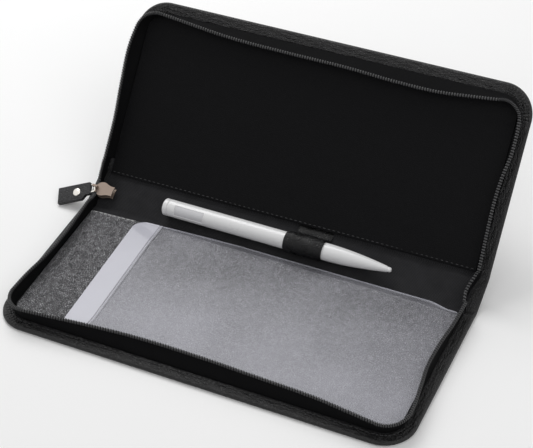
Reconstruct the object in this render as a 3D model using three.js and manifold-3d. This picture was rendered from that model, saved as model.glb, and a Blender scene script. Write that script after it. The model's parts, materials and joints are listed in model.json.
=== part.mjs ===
// Zip-round chequebook cover, lying open, with a clear sleeve and a pen in its loop.
// Millimetres. X runs along the spine, Y from the base's free edge to the spine, Z is up.
// Each half is drawn flat: x along the spine, u from the hinge to the free edge, w inwards from
// the outer face of the leather. The spine and the lid are then turned up about their hinges.

import * as THREE from "three";
import { mergeVertices } from "three/addons/utils/BufferGeometryUtils.js";
import Module from "manifold-3d";

const wasm = await Module();
wasm.setup();

// Overall form
const LENGTH = 240;
const HALF_WIDTH = 105;
const SPINE_WIDTH = 22.6;
const CORNER_RADIUS = 18;
const LID_ANGLE = 48.5;

// Layers of each half, from the outside inwards
const LEATHER = 0.9;
const BOARD = 1.2;
const HEM = 0.7;
const LAYER_GAP = 0.1;
const LINING = 0.5;
const PANEL = 0.7;
const HEM_WIDTH = 6.4;
const BOARD_SETBACK = 2.5;
const HINGE_GAP = 0.15;
const LINING_SETBACK = 1.2;

// Pleats where the hem is gathered round each corner
const PLEATS = 9;
const PLEAT_DEPTH = 0.22;

// Zip
const TAPE = 0.5;
const TAPE_GAP = 0.2;
const TAPE_SETBACK = 3;
const TAPE_SLIDER_SETBACK = 9;
const COIL_HEIGHT = 1.8;
const COIL_WIDTH = 2.0;
const TOOTH_PITCH = 1.52;
const TOOTH_DEPTH = 0.6;
const TOOTH_WAIST = 1.1;
const ZIP_PARTING = 0.3;

// Panels and sleeve
const BASE_PANEL_SETBACK = 5.9;
const LID_PANEL_SETBACK = 1.3;
const SLEEVE_FILM = 0.2;
const SLEEVE_SLOT = 0.2;
const SLEEVE_LEFT = 37;
const SLEEVE_MARGIN = 14.5;
const SLEEVE_SETBACK = 4;
const SLEEVE_CORNER = 7;
const WELD_WIDTH = 1.5;

// Pen and its loop
const PEN_LENGTH = 139;
const PEN_DIAMETER = 9.9;
const PEN_START = 49;
const PEN_PLACE = 9.6;
const LOOP_START = 125;
const LOOP_WIDTH = 23;
const LOOP_LEATHER = 0.8;
const LOOP_CLEARANCE = 0.25;
const PEN_CAP_LENGTH = 3;
const PEN_NOSE_LENGTH = 38;
const PEN_TIP_LENGTH = 2.5;
const PEN_TIP_DIAMETER = 2.8;
const PEN_INSET = { start: 8, length: 18, width: 6, depth: 0.6, gap: 0.15 };

// Slider and pull
const SLIDER = {
  x: 10,
  place: 9.2,
  rise: 2.4,
  length: 11.5,
  radius: 4.3,
  tail: 3,
  plate: 0.8,
  mouth: 2.3,
  post: 1.3,
};
const LUG = { length: 3.2, width: 1.2, height: 2.8, eye: 0.95 };
const LINK = { length: 5, width: 4.4, wire: 0.9 };
const TAB = { length: 19, width: 9.6, leather: 1, yaw: 21, droop: 12 };
const RIVET = { diameter: 4.9, height: 1.1, shank: 1.6, place: 8 };
const TAIL = { length: 16, width: 11, inside: 0.6 };

const THICKNESS = LEATHER + BOARD + HEM + 2 * LAYER_GAP;
const HALF_ANGLE = THREE.MathUtils.degToRad(LID_ANGLE / 2);
const MIDPLANE = LEATHER + SPINE_WIDTH / 2;
const LINING_BASE = LEATHER + BOARD + 2 * LAYER_GAP;
const PANEL_BASE = LINING_BASE + LINING + LAYER_GAP;
const TAPE_INSET = HEM_WIDTH + TAPE_GAP;
const INNER_INSET = TAPE_INSET + TAPE + TAPE_GAP;
const COIL_TOP = MIDPLANE - ZIP_PARTING / 2;
const TAPE_TOP = COIL_TOP - COIL_HEIGHT - LAYER_GAP;
const TAPE_BEND = PANEL_BASE + PANEL + LAYER_GAP;

const leatherLook = new THREE.MeshStandardMaterial({ color: 0x17171a, roughness: 0.5, metalness: 0 });
const grainLook = new THREE.MeshStandardMaterial({ color: 0x26262a, roughness: 0.42, metalness: 0 });
const liningLook = new THREE.MeshStandardMaterial({ color: 0x131315, roughness: 0.85, metalness: 0 });
const boardLook = new THREE.MeshStandardMaterial({ color: 0x8a7f70, roughness: 0.9, metalness: 0 });
const tapeLook = new THREE.MeshStandardMaterial({ color: 0x0c0c0e, roughness: 0.9, metalness: 0 });
const coilLook = new THREE.MeshStandardMaterial({ color: 0x2c2c30, roughness: 0.4, metalness: 0 });
const vinylLook = new THREE.MeshStandardMaterial({ color: 0xb9bac6, roughness: 0.3, metalness: 0 });
const penLook = new THREE.MeshStandardMaterial({ color: 0xe4e4e6, roughness: 0.3, metalness: 0 });
const nickelLook = new THREE.MeshStandardMaterial({ color: 0x96867a, roughness: 0.35, metalness: 1 });
const silverLook = new THREE.MeshStandardMaterial({ color: 0xd8d6d2, roughness: 0.25, metalness: 1 });

function mesh(name, geometry, material) {
  const piece = new THREE.Mesh(geometry, material);
  piece.name = name;
  return piece;
}

// Boolean work on closed meshes

function toSolid(geometry) {
  const bare = geometry.clone();
  bare.deleteAttribute("normal");
  bare.deleteAttribute("uv");
  const merged = mergeVertices(bare, 1e-5);
  return new wasm.Manifold(new wasm.Mesh({
    numProp: 3,
    vertProperties: new Float32Array(merged.attributes.position.array),
    triVerts: new Uint32Array(merged.index.array),
  }));
}

function toGeometry(solid) {
  const { vertProperties, triVerts } = solid.getMesh();
  const geometry = new THREE.BufferGeometry();
  geometry.setAttribute("position", new THREE.BufferAttribute(new Float32Array(vertProperties), 3));
  geometry.setIndex(new THREE.BufferAttribute(new Uint32Array(triVerts), 1));
  geometry.computeVertexNormals();
  return geometry;
}

function join(...geometries) {
  return toGeometry(geometries.map(toSolid).reduce((all, next) => all.add(next)));
}

function cut(geometry, ...tools) {
  return toGeometry(tools.map(toSolid).reduce((left, tool) => left.subtract(tool), toSolid(geometry)));
}

// Closed body through a row of rings that all have the same number of points

function loft(rings, section) {
  const count = rings[0].length;
  const vertices = rings.flat();
  const faces = [];
  for (let i = 0; i + 1 < rings.length; i += 1) {
    for (let j = 0; j < count; j += 1) {
      const a = i * count + j;
      const b = i * count + ((j + 1) % count);
      faces.push(a, b, a + count, b, b + count, a + count);
    }
  }
  const last = (rings.length - 1) * count;
  const clockwise = THREE.ShapeUtils.area(section) < 0;
  for (const triangle of THREE.ShapeUtils.triangulateShape(section, [])) {
    const [a, b, c] = clockwise ? triangle.reverse() : triangle;
    faces.push(a, c, b, last + a, last + b, last + c);
  }
  const geometry = new THREE.BufferGeometry();
  const numbers = vertices.flatMap((p) => p.toArray());
  geometry.setAttribute("position", new THREE.Float32BufferAttribute(numbers, 3));
  geometry.setIndex(faces);
  geometry.computeVertexNormals();
  return outward(geometry);
}

function outward(geometry) {
  const p = geometry.attributes.position;
  const index = geometry.index.array;
  const at = (i) => new THREE.Vector3().fromBufferAttribute(p, i);
  let volume = 0;
  for (let i = 0; i < index.length; i += 3) {
    volume += at(index[i]).dot(at(index[i + 1]).cross(at(index[i + 2])));
  }
  if (volume < 0) {
    for (let i = 0; i < index.length; i += 3) {
      [index[i + 1], index[i + 2]] = [index[i + 2], index[i + 1]];
    }
    geometry.computeVertexNormals();
  }
  return geometry;
}

// Edge of a half: up one side, round a corner, along the free edge and back to the hinge.
// Each station holds a point of the edge and the way inwards from it.

function edgeStations(start, end, sideStep, cornerSteps) {
  const stations = [];
  const side = HALF_WIDTH - CORNER_RADIUS;
  const front = LENGTH - 2 * CORNER_RADIUS;
  const straight = (x, u, dx, du, length, inward, part) => {
    const steps = Math.max(2, Math.round(length / sideStep));
    for (let i = 0; i <= steps; i += 1) {
      const t = i / steps;
      stations.push({
        x: x + dx * length * t,
        u: u + du * length * t,
        nx: inward[0],
        nu: inward[1],
        part,
        t,
      });
    }
  };
  const corner = (x, from, part) => {
    for (let i = 1; i < cornerSteps; i += 1) {
      const t = i / cornerSteps;
      const a = from - (Math.PI / 2) * t;
      stations.push({
        x: x + CORNER_RADIUS * Math.cos(a),
        u: side + CORNER_RADIUS * Math.sin(a),
        nx: -Math.cos(a),
        nu: -Math.sin(a),
        part,
        t,
      });
    }
  };
  straight(0, start, 0, 1, side - start, [1, 0], "first side");
  corner(CORNER_RADIUS, Math.PI, "first corner");
  straight(CORNER_RADIUS, HALF_WIDTH, 1, 0, front, [0, -1], "front");
  corner(LENGTH - CORNER_RADIUS, Math.PI / 2, "second corner");
  straight(LENGTH, side, 0, -1, side - end, [-1, 0], "second side");
  return stations;
}

function sweepEdge(stations, sectionAt) {
  const rings = stations.map((st, i) =>
    sectionAt(st, i).map(([inset, w]) => new THREE.Vector3(st.x + st.nx * inset, st.u + st.nu * inset, w)));
  const section = sectionAt(stations[0], 0).map(([inset, w]) => new THREE.Vector2(inset, w));
  return loft(rings, section);
}

// Flat sheet with the half's outline, set in from its edge and back from its hinge

function halfSheet(inset, setback, low, thickness, cornerSegments = 8) {
  const r = CORNER_RADIUS - inset;
  const top = HALF_WIDTH - CORNER_RADIUS;
  const shape = new THREE.Shape();
  shape.moveTo(inset, setback);
  shape.lineTo(LENGTH - inset, setback);
  shape.lineTo(LENGTH - inset, top);
  shape.absarc(LENGTH - CORNER_RADIUS, top, r, 0, Math.PI / 2, false);
  shape.lineTo(CORNER_RADIUS, HALF_WIDTH - inset);
  shape.absarc(CORNER_RADIUS, top, r, Math.PI / 2, Math.PI, false);
  shape.closePath();
  const sheet = new THREE.ExtrudeGeometry(shape, {
    depth: thickness,
    bevelEnabled: false,
    curveSegments: cornerSegments,
  });
  sheet.translate(0, 0, low);
  return sheet;
}

// Outer leather of a half: a flat skin whose edge is rolled over the board into a hem

function rolledSection(pleat) {
  const roll = THICKNESS / 2;
  const points = [[roll, 0]];
  const steps = 6;
  for (let i = 1; i <= steps; i += 1) {
    const a = -Math.PI / 2 - (Math.PI * i) / steps;
    points.push([roll + roll * Math.cos(a), roll + roll * Math.sin(a)]);
  }
  const top = THICKNESS - pleat;
  const foot = THICKNESS - HEM;
  const inner = LEATHER + 0.1;
  points[points.length - 1][1] = top;
  points.push([HEM_WIDTH, top], [HEM_WIDTH, foot], [inner, foot], [inner, LEATHER], [roll, LEATHER]);
  return points;
}

function halfLeather() {
  const stations = edgeStations(LINING_SETBACK, LINING_SETBACK, 40, 2 * PLEATS);
  const rim = sweepEdge(stations, ({ part, t }) => {
    const gathered = part.endsWith("corner") && Math.round(t * 2 * PLEATS) % 2 === 1;
    return rolledSection(gathered ? PLEAT_DEPTH : 0);
  });
  return join(rim, halfSheet(THICKNESS / 2 - 0.2, HINGE_GAP, 0, LEATHER, 2 * PLEATS));
}

// Zip tape that stands round three sides, and the coil along its top edge.
// Soft tape leans: out at the corners, in along each side.

function leanAt({ part, t }, lean) {
  const swell = Math.sin(Math.PI * t) ** 2;
  const ends = { "first side": lean.hinge, "second side": lean.hinge };
  if (part.endsWith("corner")) {
    return lean.corner;
  }
  if (part === "front") {
    return lean.corner + (lean.front - lean.corner) * Math.sin(Math.PI * t);
  }
  const away = part === "first side" ? t : 1 - t;
  const drift = ends[part] + (lean.corner - ends[part]) * away;
  return drift + (lean[part] - drift) * swell;
}

function halfTape({ start, end, lean }) {
  const stations = edgeStations(start, end, 9, 8);
  return sweepEdge(stations, (st) => {
    const top = leanAt(st, lean);
    const outer = TAPE_INSET;
    return [
      [outer, LINING_BASE],
      [outer + TAPE, LINING_BASE],
      [outer + TAPE, TAPE_BEND],
      [outer + TAPE + top, TAPE_TOP],
      [outer + top, TAPE_TOP],
      [outer, TAPE_BEND],
    ];
  });
}

// The coil is bent round the tape's edge: flat above, narrow below. Every second ring is the waist
// between two teeth, so each tooth is half a pitch long and stands out above and on both sides.
function halfCoil({ start, end, lean }) {
  const cornerArc = (CORNER_RADIUS - TAPE_INSET) * (Math.PI / 2);
  const cornerSteps = Math.round(cornerArc / (TOOTH_PITCH / 2));
  const stations = edgeStations(start, end, TOOTH_PITCH / 2, cornerSteps);
  return sweepEdge(stations, (st, i) => {
    const centre = TAPE_INSET + TAPE / 2 + leanAt(st, lean);
    const tooth = i % 2 === 1;
    const half = (tooth ? COIL_WIDTH : TOOTH_WAIST) / 2;
    const top = tooth ? COIL_TOP : COIL_TOP - TOOTH_DEPTH;
    return [
      [centre, COIL_TOP - COIL_HEIGHT],
      [centre + half, top],
      [centre - half, top],
    ];
  });
}

// Clear sleeve on the base: two films welded together on three sides, open towards the spine

function sleeveOutline(left, right, low, high) {
  const small = SLEEVE_CORNER;
  const large = CORNER_RADIUS - left + SLEEVE_CORNER / 2;
  const shape = new THREE.Shape();
  shape.moveTo(left, high - large);
  shape.lineTo(left, low + large);
  shape.absarc(left + large, low + large, large, Math.PI, 1.5 * Math.PI, false);
  shape.lineTo(right - small, low);
  shape.absarc(right - small, low + small, small, 1.5 * Math.PI, 2 * Math.PI, false);
  shape.lineTo(right, high - small);
  shape.absarc(right - small, high - small, small, 0, Math.PI / 2, false);
  shape.lineTo(left + large, high);
  shape.absarc(left + large, high - large, large, Math.PI / 2, Math.PI, false);
  return shape;
}

function sleeve() {
  const low = PANEL_BASE + PANEL + LAYER_GAP;
  const right = LENGTH - SLEEVE_LEFT;
  const left = INNER_INSET + 2;
  const far = HALF_WIDTH - INNER_INSET - 2;
  const flat = { bevelEnabled: false, curveSegments: 6 };
  const body = new THREE.ExtrudeGeometry(
    sleeveOutline(left, right, SLEEVE_SETBACK, far),
    { ...flat, depth: 2 * SLEEVE_FILM + SLEEVE_SLOT },
  );
  const slotRight = right - SLEEVE_MARGIN - WELD_WIDTH;
  const slotLeft = left + WELD_WIDTH;
  const slotHigh = far - WELD_WIDTH;
  const slotLow = SLEEVE_SETBACK - 1;
  const slot = new THREE.BoxGeometry(slotRight - slotLeft, slotHigh - slotLow, SLEEVE_SLOT);
  slot.translate((slotRight + slotLeft) / 2, (slotHigh + slotLow) / 2, SLEEVE_FILM + SLEEVE_SLOT / 2);
  const shell = cut(body, slot);
  shell.translate(0, 0, low);
  return shell;
}

// Spine leather with its hems turned in at both ends. On the spine, w is 0 at the leather's inner face.

function spineLeather() {
  const low = -LEATHER;
  const top = LAYER_GAP + LINING;
  const roll = (top - low) / 2;
  const end = (x, sign) => {
    const points = [];
    for (let i = 0; i <= 6; i += 1) {
      const a = -Math.PI / 2 + (Math.PI * i) / 6;
      points.push([x - sign * roll + sign * roll * Math.cos(a), low + roll + roll * Math.sin(a)]);
    }
    points.push([x - sign * HEM_WIDTH, top], [x - sign * HEM_WIDTH, 0]);
    return points;
  };
  const outline = [...end(LENGTH, 1), ...end(0, -1).reverse()];
  const shape = new THREE.Shape(outline.map(([x, w]) => new THREE.Vector2(x, w)));
  const width = SPINE_WIDTH - 2 * HINGE_GAP;
  const skin = new THREE.ExtrudeGeometry(shape, { depth: width, bevelEnabled: false });
  skin.rotateX(Math.PI / 2);
  skin.translate(0, SPINE_WIDTH - HINGE_GAP, 0);
  return skin;
}

function spineLining() {
  const width = SPINE_WIDTH - 2 * HINGE_GAP;
  const length = LENGTH - 2 * (HEM_WIDTH + LAYER_GAP);
  const lining = new THREE.BoxGeometry(length, width, LINING);
  lining.translate(LENGTH / 2, SPINE_WIDTH / 2, LAYER_GAP + LINING / 2);
  return lining;
}

// Pen, turned about its own axis along X

const SPINE_FACE = LAYER_GAP + LINING;
const LOOP_RADIUS = PEN_DIAMETER / 2 + LOOP_CLEARANCE + LOOP_LEATHER;
const PEN_HEIGHT = SPINE_FACE + LAYER_GAP + LOOP_RADIUS;

function turned(profile, segments = 24) {
  const body = new THREE.LatheGeometry(profile.map(([r, x]) => new THREE.Vector2(r, x)), segments);
  body.rotateZ(-Math.PI / 2);
  return body;
}

function penBarrel() {
  const r = PEN_DIAMETER / 2;
  const start = PEN_CAP_LENGTH + LAYER_GAP;
  const noseStart = PEN_LENGTH - PEN_NOSE_LENGTH;
  const end = PEN_LENGTH - PEN_TIP_LENGTH - LAYER_GAP;
  const profile = [[0, start], [r, start]];
  const steps = 7;
  for (let i = 0; i <= steps; i += 1) {
    const t = i / steps;
    const radius = r - (r - PEN_TIP_DIAMETER / 2 - 0.3) * t ** 1.8;
    profile.push([radius, noseStart + (end - noseStart) * t]);
  }
  profile.push([0, end]);
  const recess = penInset(PEN_INSET.gap);
  return cut(turned(profile), recess);
}

function penInset(grow) {
  const { start, length, width, depth } = PEN_INSET;
  const r = PEN_DIAMETER / 2;
  const ring = turned([
    [r - depth - grow, start - grow],
    [r + (grow > 0 ? 1 : 0), start - grow],
    [r + (grow > 0 ? 1 : 0), start + length + grow],
    [r - depth - grow, start + length + grow],
    [r - depth - grow, start - grow],
  ]);
  const block = new THREE.BoxGeometry(length + 4, width + 2 * grow, PEN_DIAMETER);
  block.translate(start + length / 2, 0, PEN_DIAMETER / 2);
  return toGeometry(toSolid(ring).intersect(toSolid(block)));
}

function penCap() {
  const r = PEN_DIAMETER / 2;
  const bevel = 0.8;
  const groove = 0.3;
  return turned([
    [0, 0],
    [r - bevel, 0],
    [r, bevel],
    [r, PEN_CAP_LENGTH - groove],
    [r - groove, PEN_CAP_LENGTH],
    [0, PEN_CAP_LENGTH],
  ]);
}

function penTip() {
  const r = PEN_TIP_DIAMETER / 2;
  const start = PEN_LENGTH - PEN_TIP_LENGTH;
  const profile = [
    [0, start],
    [r, start],
    [r - 0.2, PEN_LENGTH - 0.6],
    [r - 0.7, PEN_LENGTH],
    [0, PEN_LENGTH],
  ];
  return turned(profile, 16);
}

// Leather loop: a band round the pen and a tab that runs up the spine towards the lid

function penLoop() {
  const inner = PEN_DIAMETER / 2 + LOOP_CLEARANCE;
  const tabLow = SPINE_FACE + LAYER_GAP;
  const tabEnd = SPINE_WIDTH - (PANEL_BASE + PANEL - LEATHER) - 2 * LAYER_GAP;
  const shape = new THREE.Shape();
  const meet = Math.asin((LOOP_RADIUS - LOOP_LEATHER) / LOOP_RADIUS);
  shape.absarc(PEN_PLACE, PEN_HEIGHT, LOOP_RADIUS, -meet, 1.5 * Math.PI, false);
  shape.lineTo(tabEnd, tabLow);
  shape.lineTo(tabEnd, tabLow + LOOP_LEATHER);
  shape.closePath();
  const hole = new THREE.Path();
  hole.absarc(PEN_PLACE, PEN_HEIGHT, inner, 0, 2 * Math.PI, true);
  shape.holes.push(hole);
  const band = new THREE.ExtrudeGeometry(shape, {
    depth: LOOP_WIDTH,
    bevelEnabled: false,
    curveSegments: 24,
  });
  band.rotateY(Math.PI / 2);
  band.rotateX(Math.PI / 2);
  band.translate(LOOP_START, 0, 0);
  return band;
}

// Slider: two leaf-shaped plates on a post, with a lug at the nose for the pull's link

const PLATES_TOP = 2 * SLIDER.plate + SLIDER.mouth;
const EYE_HEIGHT = PLATES_TOP + LUG.eye + 0.25;

function leafPlate(low, thickness) {
  const { length, radius, tail } = SLIDER;
  const centre = radius - length / 2;
  const end = length / 2;
  const waist = end - 2.6;
  const spread = 0.75 * Math.PI / 2;
  const shoulder = [centre + radius * Math.cos(spread), radius * Math.sin(spread)];
  const shape = new THREE.Shape();
  shape.absarc(centre, 0, radius, spread, 2 * Math.PI - spread, false);
  shape.quadraticCurveTo(waist, -tail + 0.5, end, -tail);
  shape.quadraticCurveTo(end - 0.5, 0, end, tail);
  shape.quadraticCurveTo(waist, tail - 0.5, ...shoulder);
  const plate = new THREE.ExtrudeGeometry(shape, {
    depth: thickness,
    bevelEnabled: false,
    curveSegments: 10,
  });
  plate.translate(0, 0, low);
  return plate;
}

function sliderBody() {
  const { length, plate, mouth } = SLIDER;
  const nose = -length / 2;
  const post = new THREE.CylinderGeometry(SLIDER.post, SLIDER.post, mouth + plate, 12);
  post.rotateX(Math.PI / 2);
  post.translate(nose + 2 * SLIDER.post, 0, plate + mouth / 2);
  const lug = new THREE.BoxGeometry(LUG.length, LUG.width, LUG.height);
  lug.translate(nose + 0.3, 0, PLATES_TOP - 0.2 + LUG.height / 2);
  const eye = new THREE.CylinderGeometry(LUG.eye, LUG.eye, 2 * LUG.width, 12);
  eye.translate(nose, 0, EYE_HEIGHT);
  return cut(join(leafPlate(0, plate), leafPlate(plate + mouth, plate), post, lug), eye);
}

function pullLink() {
  const { length, width, wire } = LINK;
  const outline = (grow) => {
    const shape = new THREE.Shape();
    const r = 1 + grow;
    const x0 = -grow;
    const x1 = length + grow;
    const y = width / 2 + grow;
    shape.moveTo(x0 + r, -y);
    shape.lineTo(x1 - r, -y);
    shape.absarc(x1 - r, -y + r, r, -Math.PI / 2, 0, false);
    shape.lineTo(x1, y - r);
    shape.absarc(x1 - r, y - r, r, 0, Math.PI / 2, false);
    shape.lineTo(x0 + r, y);
    shape.absarc(x0 + r, y - r, r, Math.PI / 2, Math.PI, false);
    shape.lineTo(x0, -y + r);
    shape.absarc(x0 + r, -y + r, r, Math.PI, 1.5 * Math.PI, false);
    return shape;
  };
  const shape = outline(wire / 2);
  shape.holes.push(outline(-wire / 2));
  const link = new THREE.ExtrudeGeometry(shape, { depth: wire, bevelEnabled: false, curveSegments: 4 });
  link.translate(0, 0, -wire / 2);
  return link;
}

// Tab: a strip folded round the link's outer bar and riveted to itself, narrower between its arms

function pullTab() {
  const { length, width, leather } = TAB;
  const bar = LINK.wire / 2 + 0.3;
  const outer = bar + leather;
  const shape = new THREE.Shape();
  shape.absarc(0, 0, outer, 0.6 * Math.PI, 1.4 * Math.PI, false);
  shape.lineTo(3, -leather);
  shape.lineTo(length, -leather);
  shape.lineTo(length, leather);
  shape.lineTo(3, leather);
  shape.closePath();
  const hole = new THREE.Path();
  hole.absarc(0, 0, bar, 0, 2 * Math.PI, true);
  shape.holes.push(hole);
  const strip = new THREE.ExtrudeGeometry(shape, { depth: width, bevelEnabled: false, curveSegments: 12 });
  strip.rotateX(Math.PI / 2);
  strip.translate(0, width / 2, 0);
  const tongue = LINK.width / 2 - LINK.wire / 2 - 0.2;
  const shoulder = bar + 0.35;
  const notches = [1, -1].map((side) => {
    const notch = new THREE.BoxGeometry(2 * outer, width, 3 * outer);
    notch.translate(shoulder - outer, side * (tongue + width / 2), 0);
    return notch;
  });
  const hollow = new THREE.CylinderGeometry(RIVET.shank / 2 + 0.1, RIVET.shank / 2 + 0.1, 4 * leather, 12);
  hollow.rotateX(Math.PI / 2);
  hollow.translate(RIVET.place, 0, 0);
  return cut(strip, hollow, ...notches);
}

function rivetCap() {
  const { diameter, height, shank } = RIVET;
  const seat = TAB.leather + 0.1;
  const profile = [[0, -TAB.leather], [shank / 2, -TAB.leather], [shank / 2, seat], [diameter / 2, seat]];
  for (let i = 1; i <= 4; i += 1) {
    const a = (Math.PI / 2) * (i / 4);
    profile.push([(diameter / 2) * Math.cos(a), seat + 0.2 + (height - 0.2) * Math.sin(a)]);
  }
  profile[profile.length - 1][0] = 0;
  const cap = new THREE.LatheGeometry(profile.map(([r, z]) => new THREE.Vector2(r, z)), 20);
  cap.rotateX(Math.PI / 2);
  return cap;
}

function rivetBack() {
  const back = new THREE.CylinderGeometry(RIVET.diameter / 2 - 0.4, RIVET.diameter / 2, 0.6, 20);
  back.rotateX(Math.PI / 2);
  back.translate(0, 0, -TAB.leather - 0.5);
  return back;
}

// Closed end of the zip: the two tapes lie together and are tucked down onto the spine lining

function tapeEnd() {
  const top = SLIDER.rise + SLIDER.plate + 0.3;
  const clear = SLIDER.length / 2;
  const low = SPINE_FACE + LAYER_GAP;
  const points = [
    [0, top],
    [clear - TAIL.inside, top],
    [clear + 1.5, (2 * top + low) / 3],
    [clear + 4, low + 0.7],
    [clear + 6, low],
    [TAIL.length, low],
  ];
  const upper = points.map(([x, w]) => new THREE.Vector2(x, w + TAPE));
  const lower = points.map(([x, w]) => new THREE.Vector2(x, w)).reverse();
  const shape = new THREE.Shape([...upper, ...lower]);
  const strip = new THREE.ExtrudeGeometry(shape, { depth: TAIL.width, bevelEnabled: false });
  strip.rotateX(Math.PI / 2);
  strip.translate(0, TAIL.width / 2, 0);
  return strip;
}

// Assembly: the base lies flat, the spine turns up from it and the lid from the spine

const BASE_ZIP = {
  start: TAPE_SETBACK,
  end: TAPE_SLIDER_SETBACK,
  lean: { hinge: -1.5, corner: -1.8, front: 4.3, "first side": 0.8, "second side": 1.6 },
};
const LID_ZIP = {
  start: TAPE_SLIDER_SETBACK,
  end: TAPE_SETBACK,
  lean: { hinge: -2, corner: 0.9, front: 7, "first side": -3.2, "second side": -0.6 },
};

const base = new THREE.Group();
base.position.set(LENGTH, HALF_WIDTH, 0);
base.rotation.z = Math.PI;
base.add(
  mesh("base_leather", halfLeather(), leatherLook),
  mesh("base_board", halfSheet(THICKNESS / 2 - 0.3, BOARD_SETBACK, LEATHER + LAYER_GAP, BOARD), boardLook),
  mesh("base_lining", halfSheet(INNER_INSET, LINING_SETBACK, LINING_BASE, LINING), liningLook),
  mesh("base_pocket_panel", halfSheet(INNER_INSET + 0.3, BASE_PANEL_SETBACK, PANEL_BASE, PANEL), grainLook),
  mesh("clear_sleeve", sleeve(), vinylLook),
  mesh("base_zip_tape", halfTape(BASE_ZIP), tapeLook),
  mesh("base_zip_coil", halfCoil(BASE_ZIP), coilLook),
);

const lid = new THREE.Group();
lid.position.set(0, SPINE_WIDTH, 0);
lid.rotation.x = HALF_ANGLE;
const lidSheets = new THREE.Group();
lidSheets.position.z = -LEATHER;
lid.add(lidSheets);
lidSheets.add(
  mesh("lid_leather", halfLeather(), leatherLook),
  mesh("lid_board", halfSheet(THICKNESS / 2 - 0.3, BOARD_SETBACK, LEATHER + LAYER_GAP, BOARD), boardLook),
  mesh("lid_lining", halfSheet(INNER_INSET, LINING_SETBACK, LINING_BASE, LINING), liningLook),
  mesh("lid_pocket_panel", halfSheet(INNER_INSET + 0.3, LID_PANEL_SETBACK, PANEL_BASE, PANEL), liningLook),
  mesh("lid_zip_tape", halfTape(LID_ZIP), tapeLook),
  mesh("lid_zip_coil", halfCoil(LID_ZIP), coilLook),
);

const spine = new THREE.Group();
spine.position.set(0, HALF_WIDTH, LEATHER);
spine.rotation.x = HALF_ANGLE;
spine.add(
  mesh("spine_leather", spineLeather(), leatherLook),
  mesh("spine_lining", spineLining(), liningLook),
  mesh("pen_loop", penLoop(), leatherLook),
  lid,
);

const pen = new THREE.Group();
pen.position.set(PEN_START, PEN_PLACE, PEN_HEIGHT);
pen.add(
  mesh("pen_barrel", penBarrel(), penLook),
  mesh("pen_inset_plate", penInset(0), penLook),
  mesh("pen_end_cap", penCap(), penLook),
  mesh("pen_tip", penTip(), penLook),
);
spine.add(pen);

const slider = new THREE.Group();
slider.position.set(SLIDER.x, SLIDER.place, SLIDER.rise);
slider.add(mesh("slider_body", sliderBody(), nickelLook));
spine.add(slider);

const leftTail = new THREE.Group();
leftTail.position.set(SLIDER.x + TAIL.inside + 0.4, SLIDER.place, 0);
leftTail.add(mesh("left_tape_end", tapeEnd(), tapeLook));
const rightTail = new THREE.Group();
rightTail.position.set(LENGTH - HEM_WIDTH - 3, SLIDER.place, 0);
rightTail.rotation.z = Math.PI;
rightTail.add(mesh("right_tape_end", tapeEnd(), tapeLook));
spine.add(leftTail, rightTail);

// The pull hangs over the end of the spine: the link turns in the lug and the tab turns on the link
const pull = new THREE.Group();
pull.position.set(SLIDER.x - SLIDER.length / 2, SLIDER.place, SLIDER.rise + EYE_HEIGHT);
pull.rotation.order = "ZYX";
pull.rotation.z = Math.PI + THREE.MathUtils.degToRad(TAB.yaw);
pull.rotation.y = THREE.MathUtils.degToRad(TAB.droop);
const tab = new THREE.Group();
tab.position.x = LINK.length;
tab.add(mesh("pull_tab", pullTab(), leatherLook));
const rivet = new THREE.Group();
rivet.position.x = RIVET.place;
rivet.add(mesh("tab_rivet", rivetCap(), silverLook), mesh("tab_rivet_back", rivetBack(), silverLook));
tab.add(rivet);
pull.add(mesh("pull_link", pullLink(), nickelLook), tab);
spine.add(pull);

const cover = new THREE.Group();
cover.add(base, spine);

// The origin goes under the middle of the whole open cover
const bounds = new THREE.Box3().setFromObject(cover, true);
cover.position.set(-(bounds.min.x + bounds.max.x) / 2, -(bounds.min.y + bounds.max.y) / 2, -bounds.min.z);

export default cover;
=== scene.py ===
"""Looks of a zip-round chequebook cover that lies open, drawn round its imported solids.

Every soft sheet is worked out in the cover's flat coordinates, in millimetres: x runs along the
spine from the slider's end, a runs from the base (negative) over the spine to the lid, and w runs
inwards from the outer face of the leather. One function then bends the flat cover at its two folds.
"""

import json
import math
from types import SimpleNamespace

import bmesh
import bpy
import numpy as np
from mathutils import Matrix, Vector


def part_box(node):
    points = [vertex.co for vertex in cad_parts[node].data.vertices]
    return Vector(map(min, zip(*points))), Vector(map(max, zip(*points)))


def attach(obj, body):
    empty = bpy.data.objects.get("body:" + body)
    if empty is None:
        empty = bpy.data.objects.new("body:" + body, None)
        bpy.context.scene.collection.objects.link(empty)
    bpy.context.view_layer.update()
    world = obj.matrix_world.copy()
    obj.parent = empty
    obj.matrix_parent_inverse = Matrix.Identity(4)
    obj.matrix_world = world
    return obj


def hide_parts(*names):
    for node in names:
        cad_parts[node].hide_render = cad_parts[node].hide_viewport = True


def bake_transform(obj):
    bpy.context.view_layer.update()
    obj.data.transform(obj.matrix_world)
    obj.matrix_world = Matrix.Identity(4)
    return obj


bl_info = {
    "name": "Zip-round chequebook cover",
    "version": (1, 0, 0),
    "blender": (4, 5, 0),
    "location": "View3D > Sidebar > Cover",
    "description": "Builds the leather, zip, sleeve, pen and pull of an open chequebook cover",
    "category": "Object",
}

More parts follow.
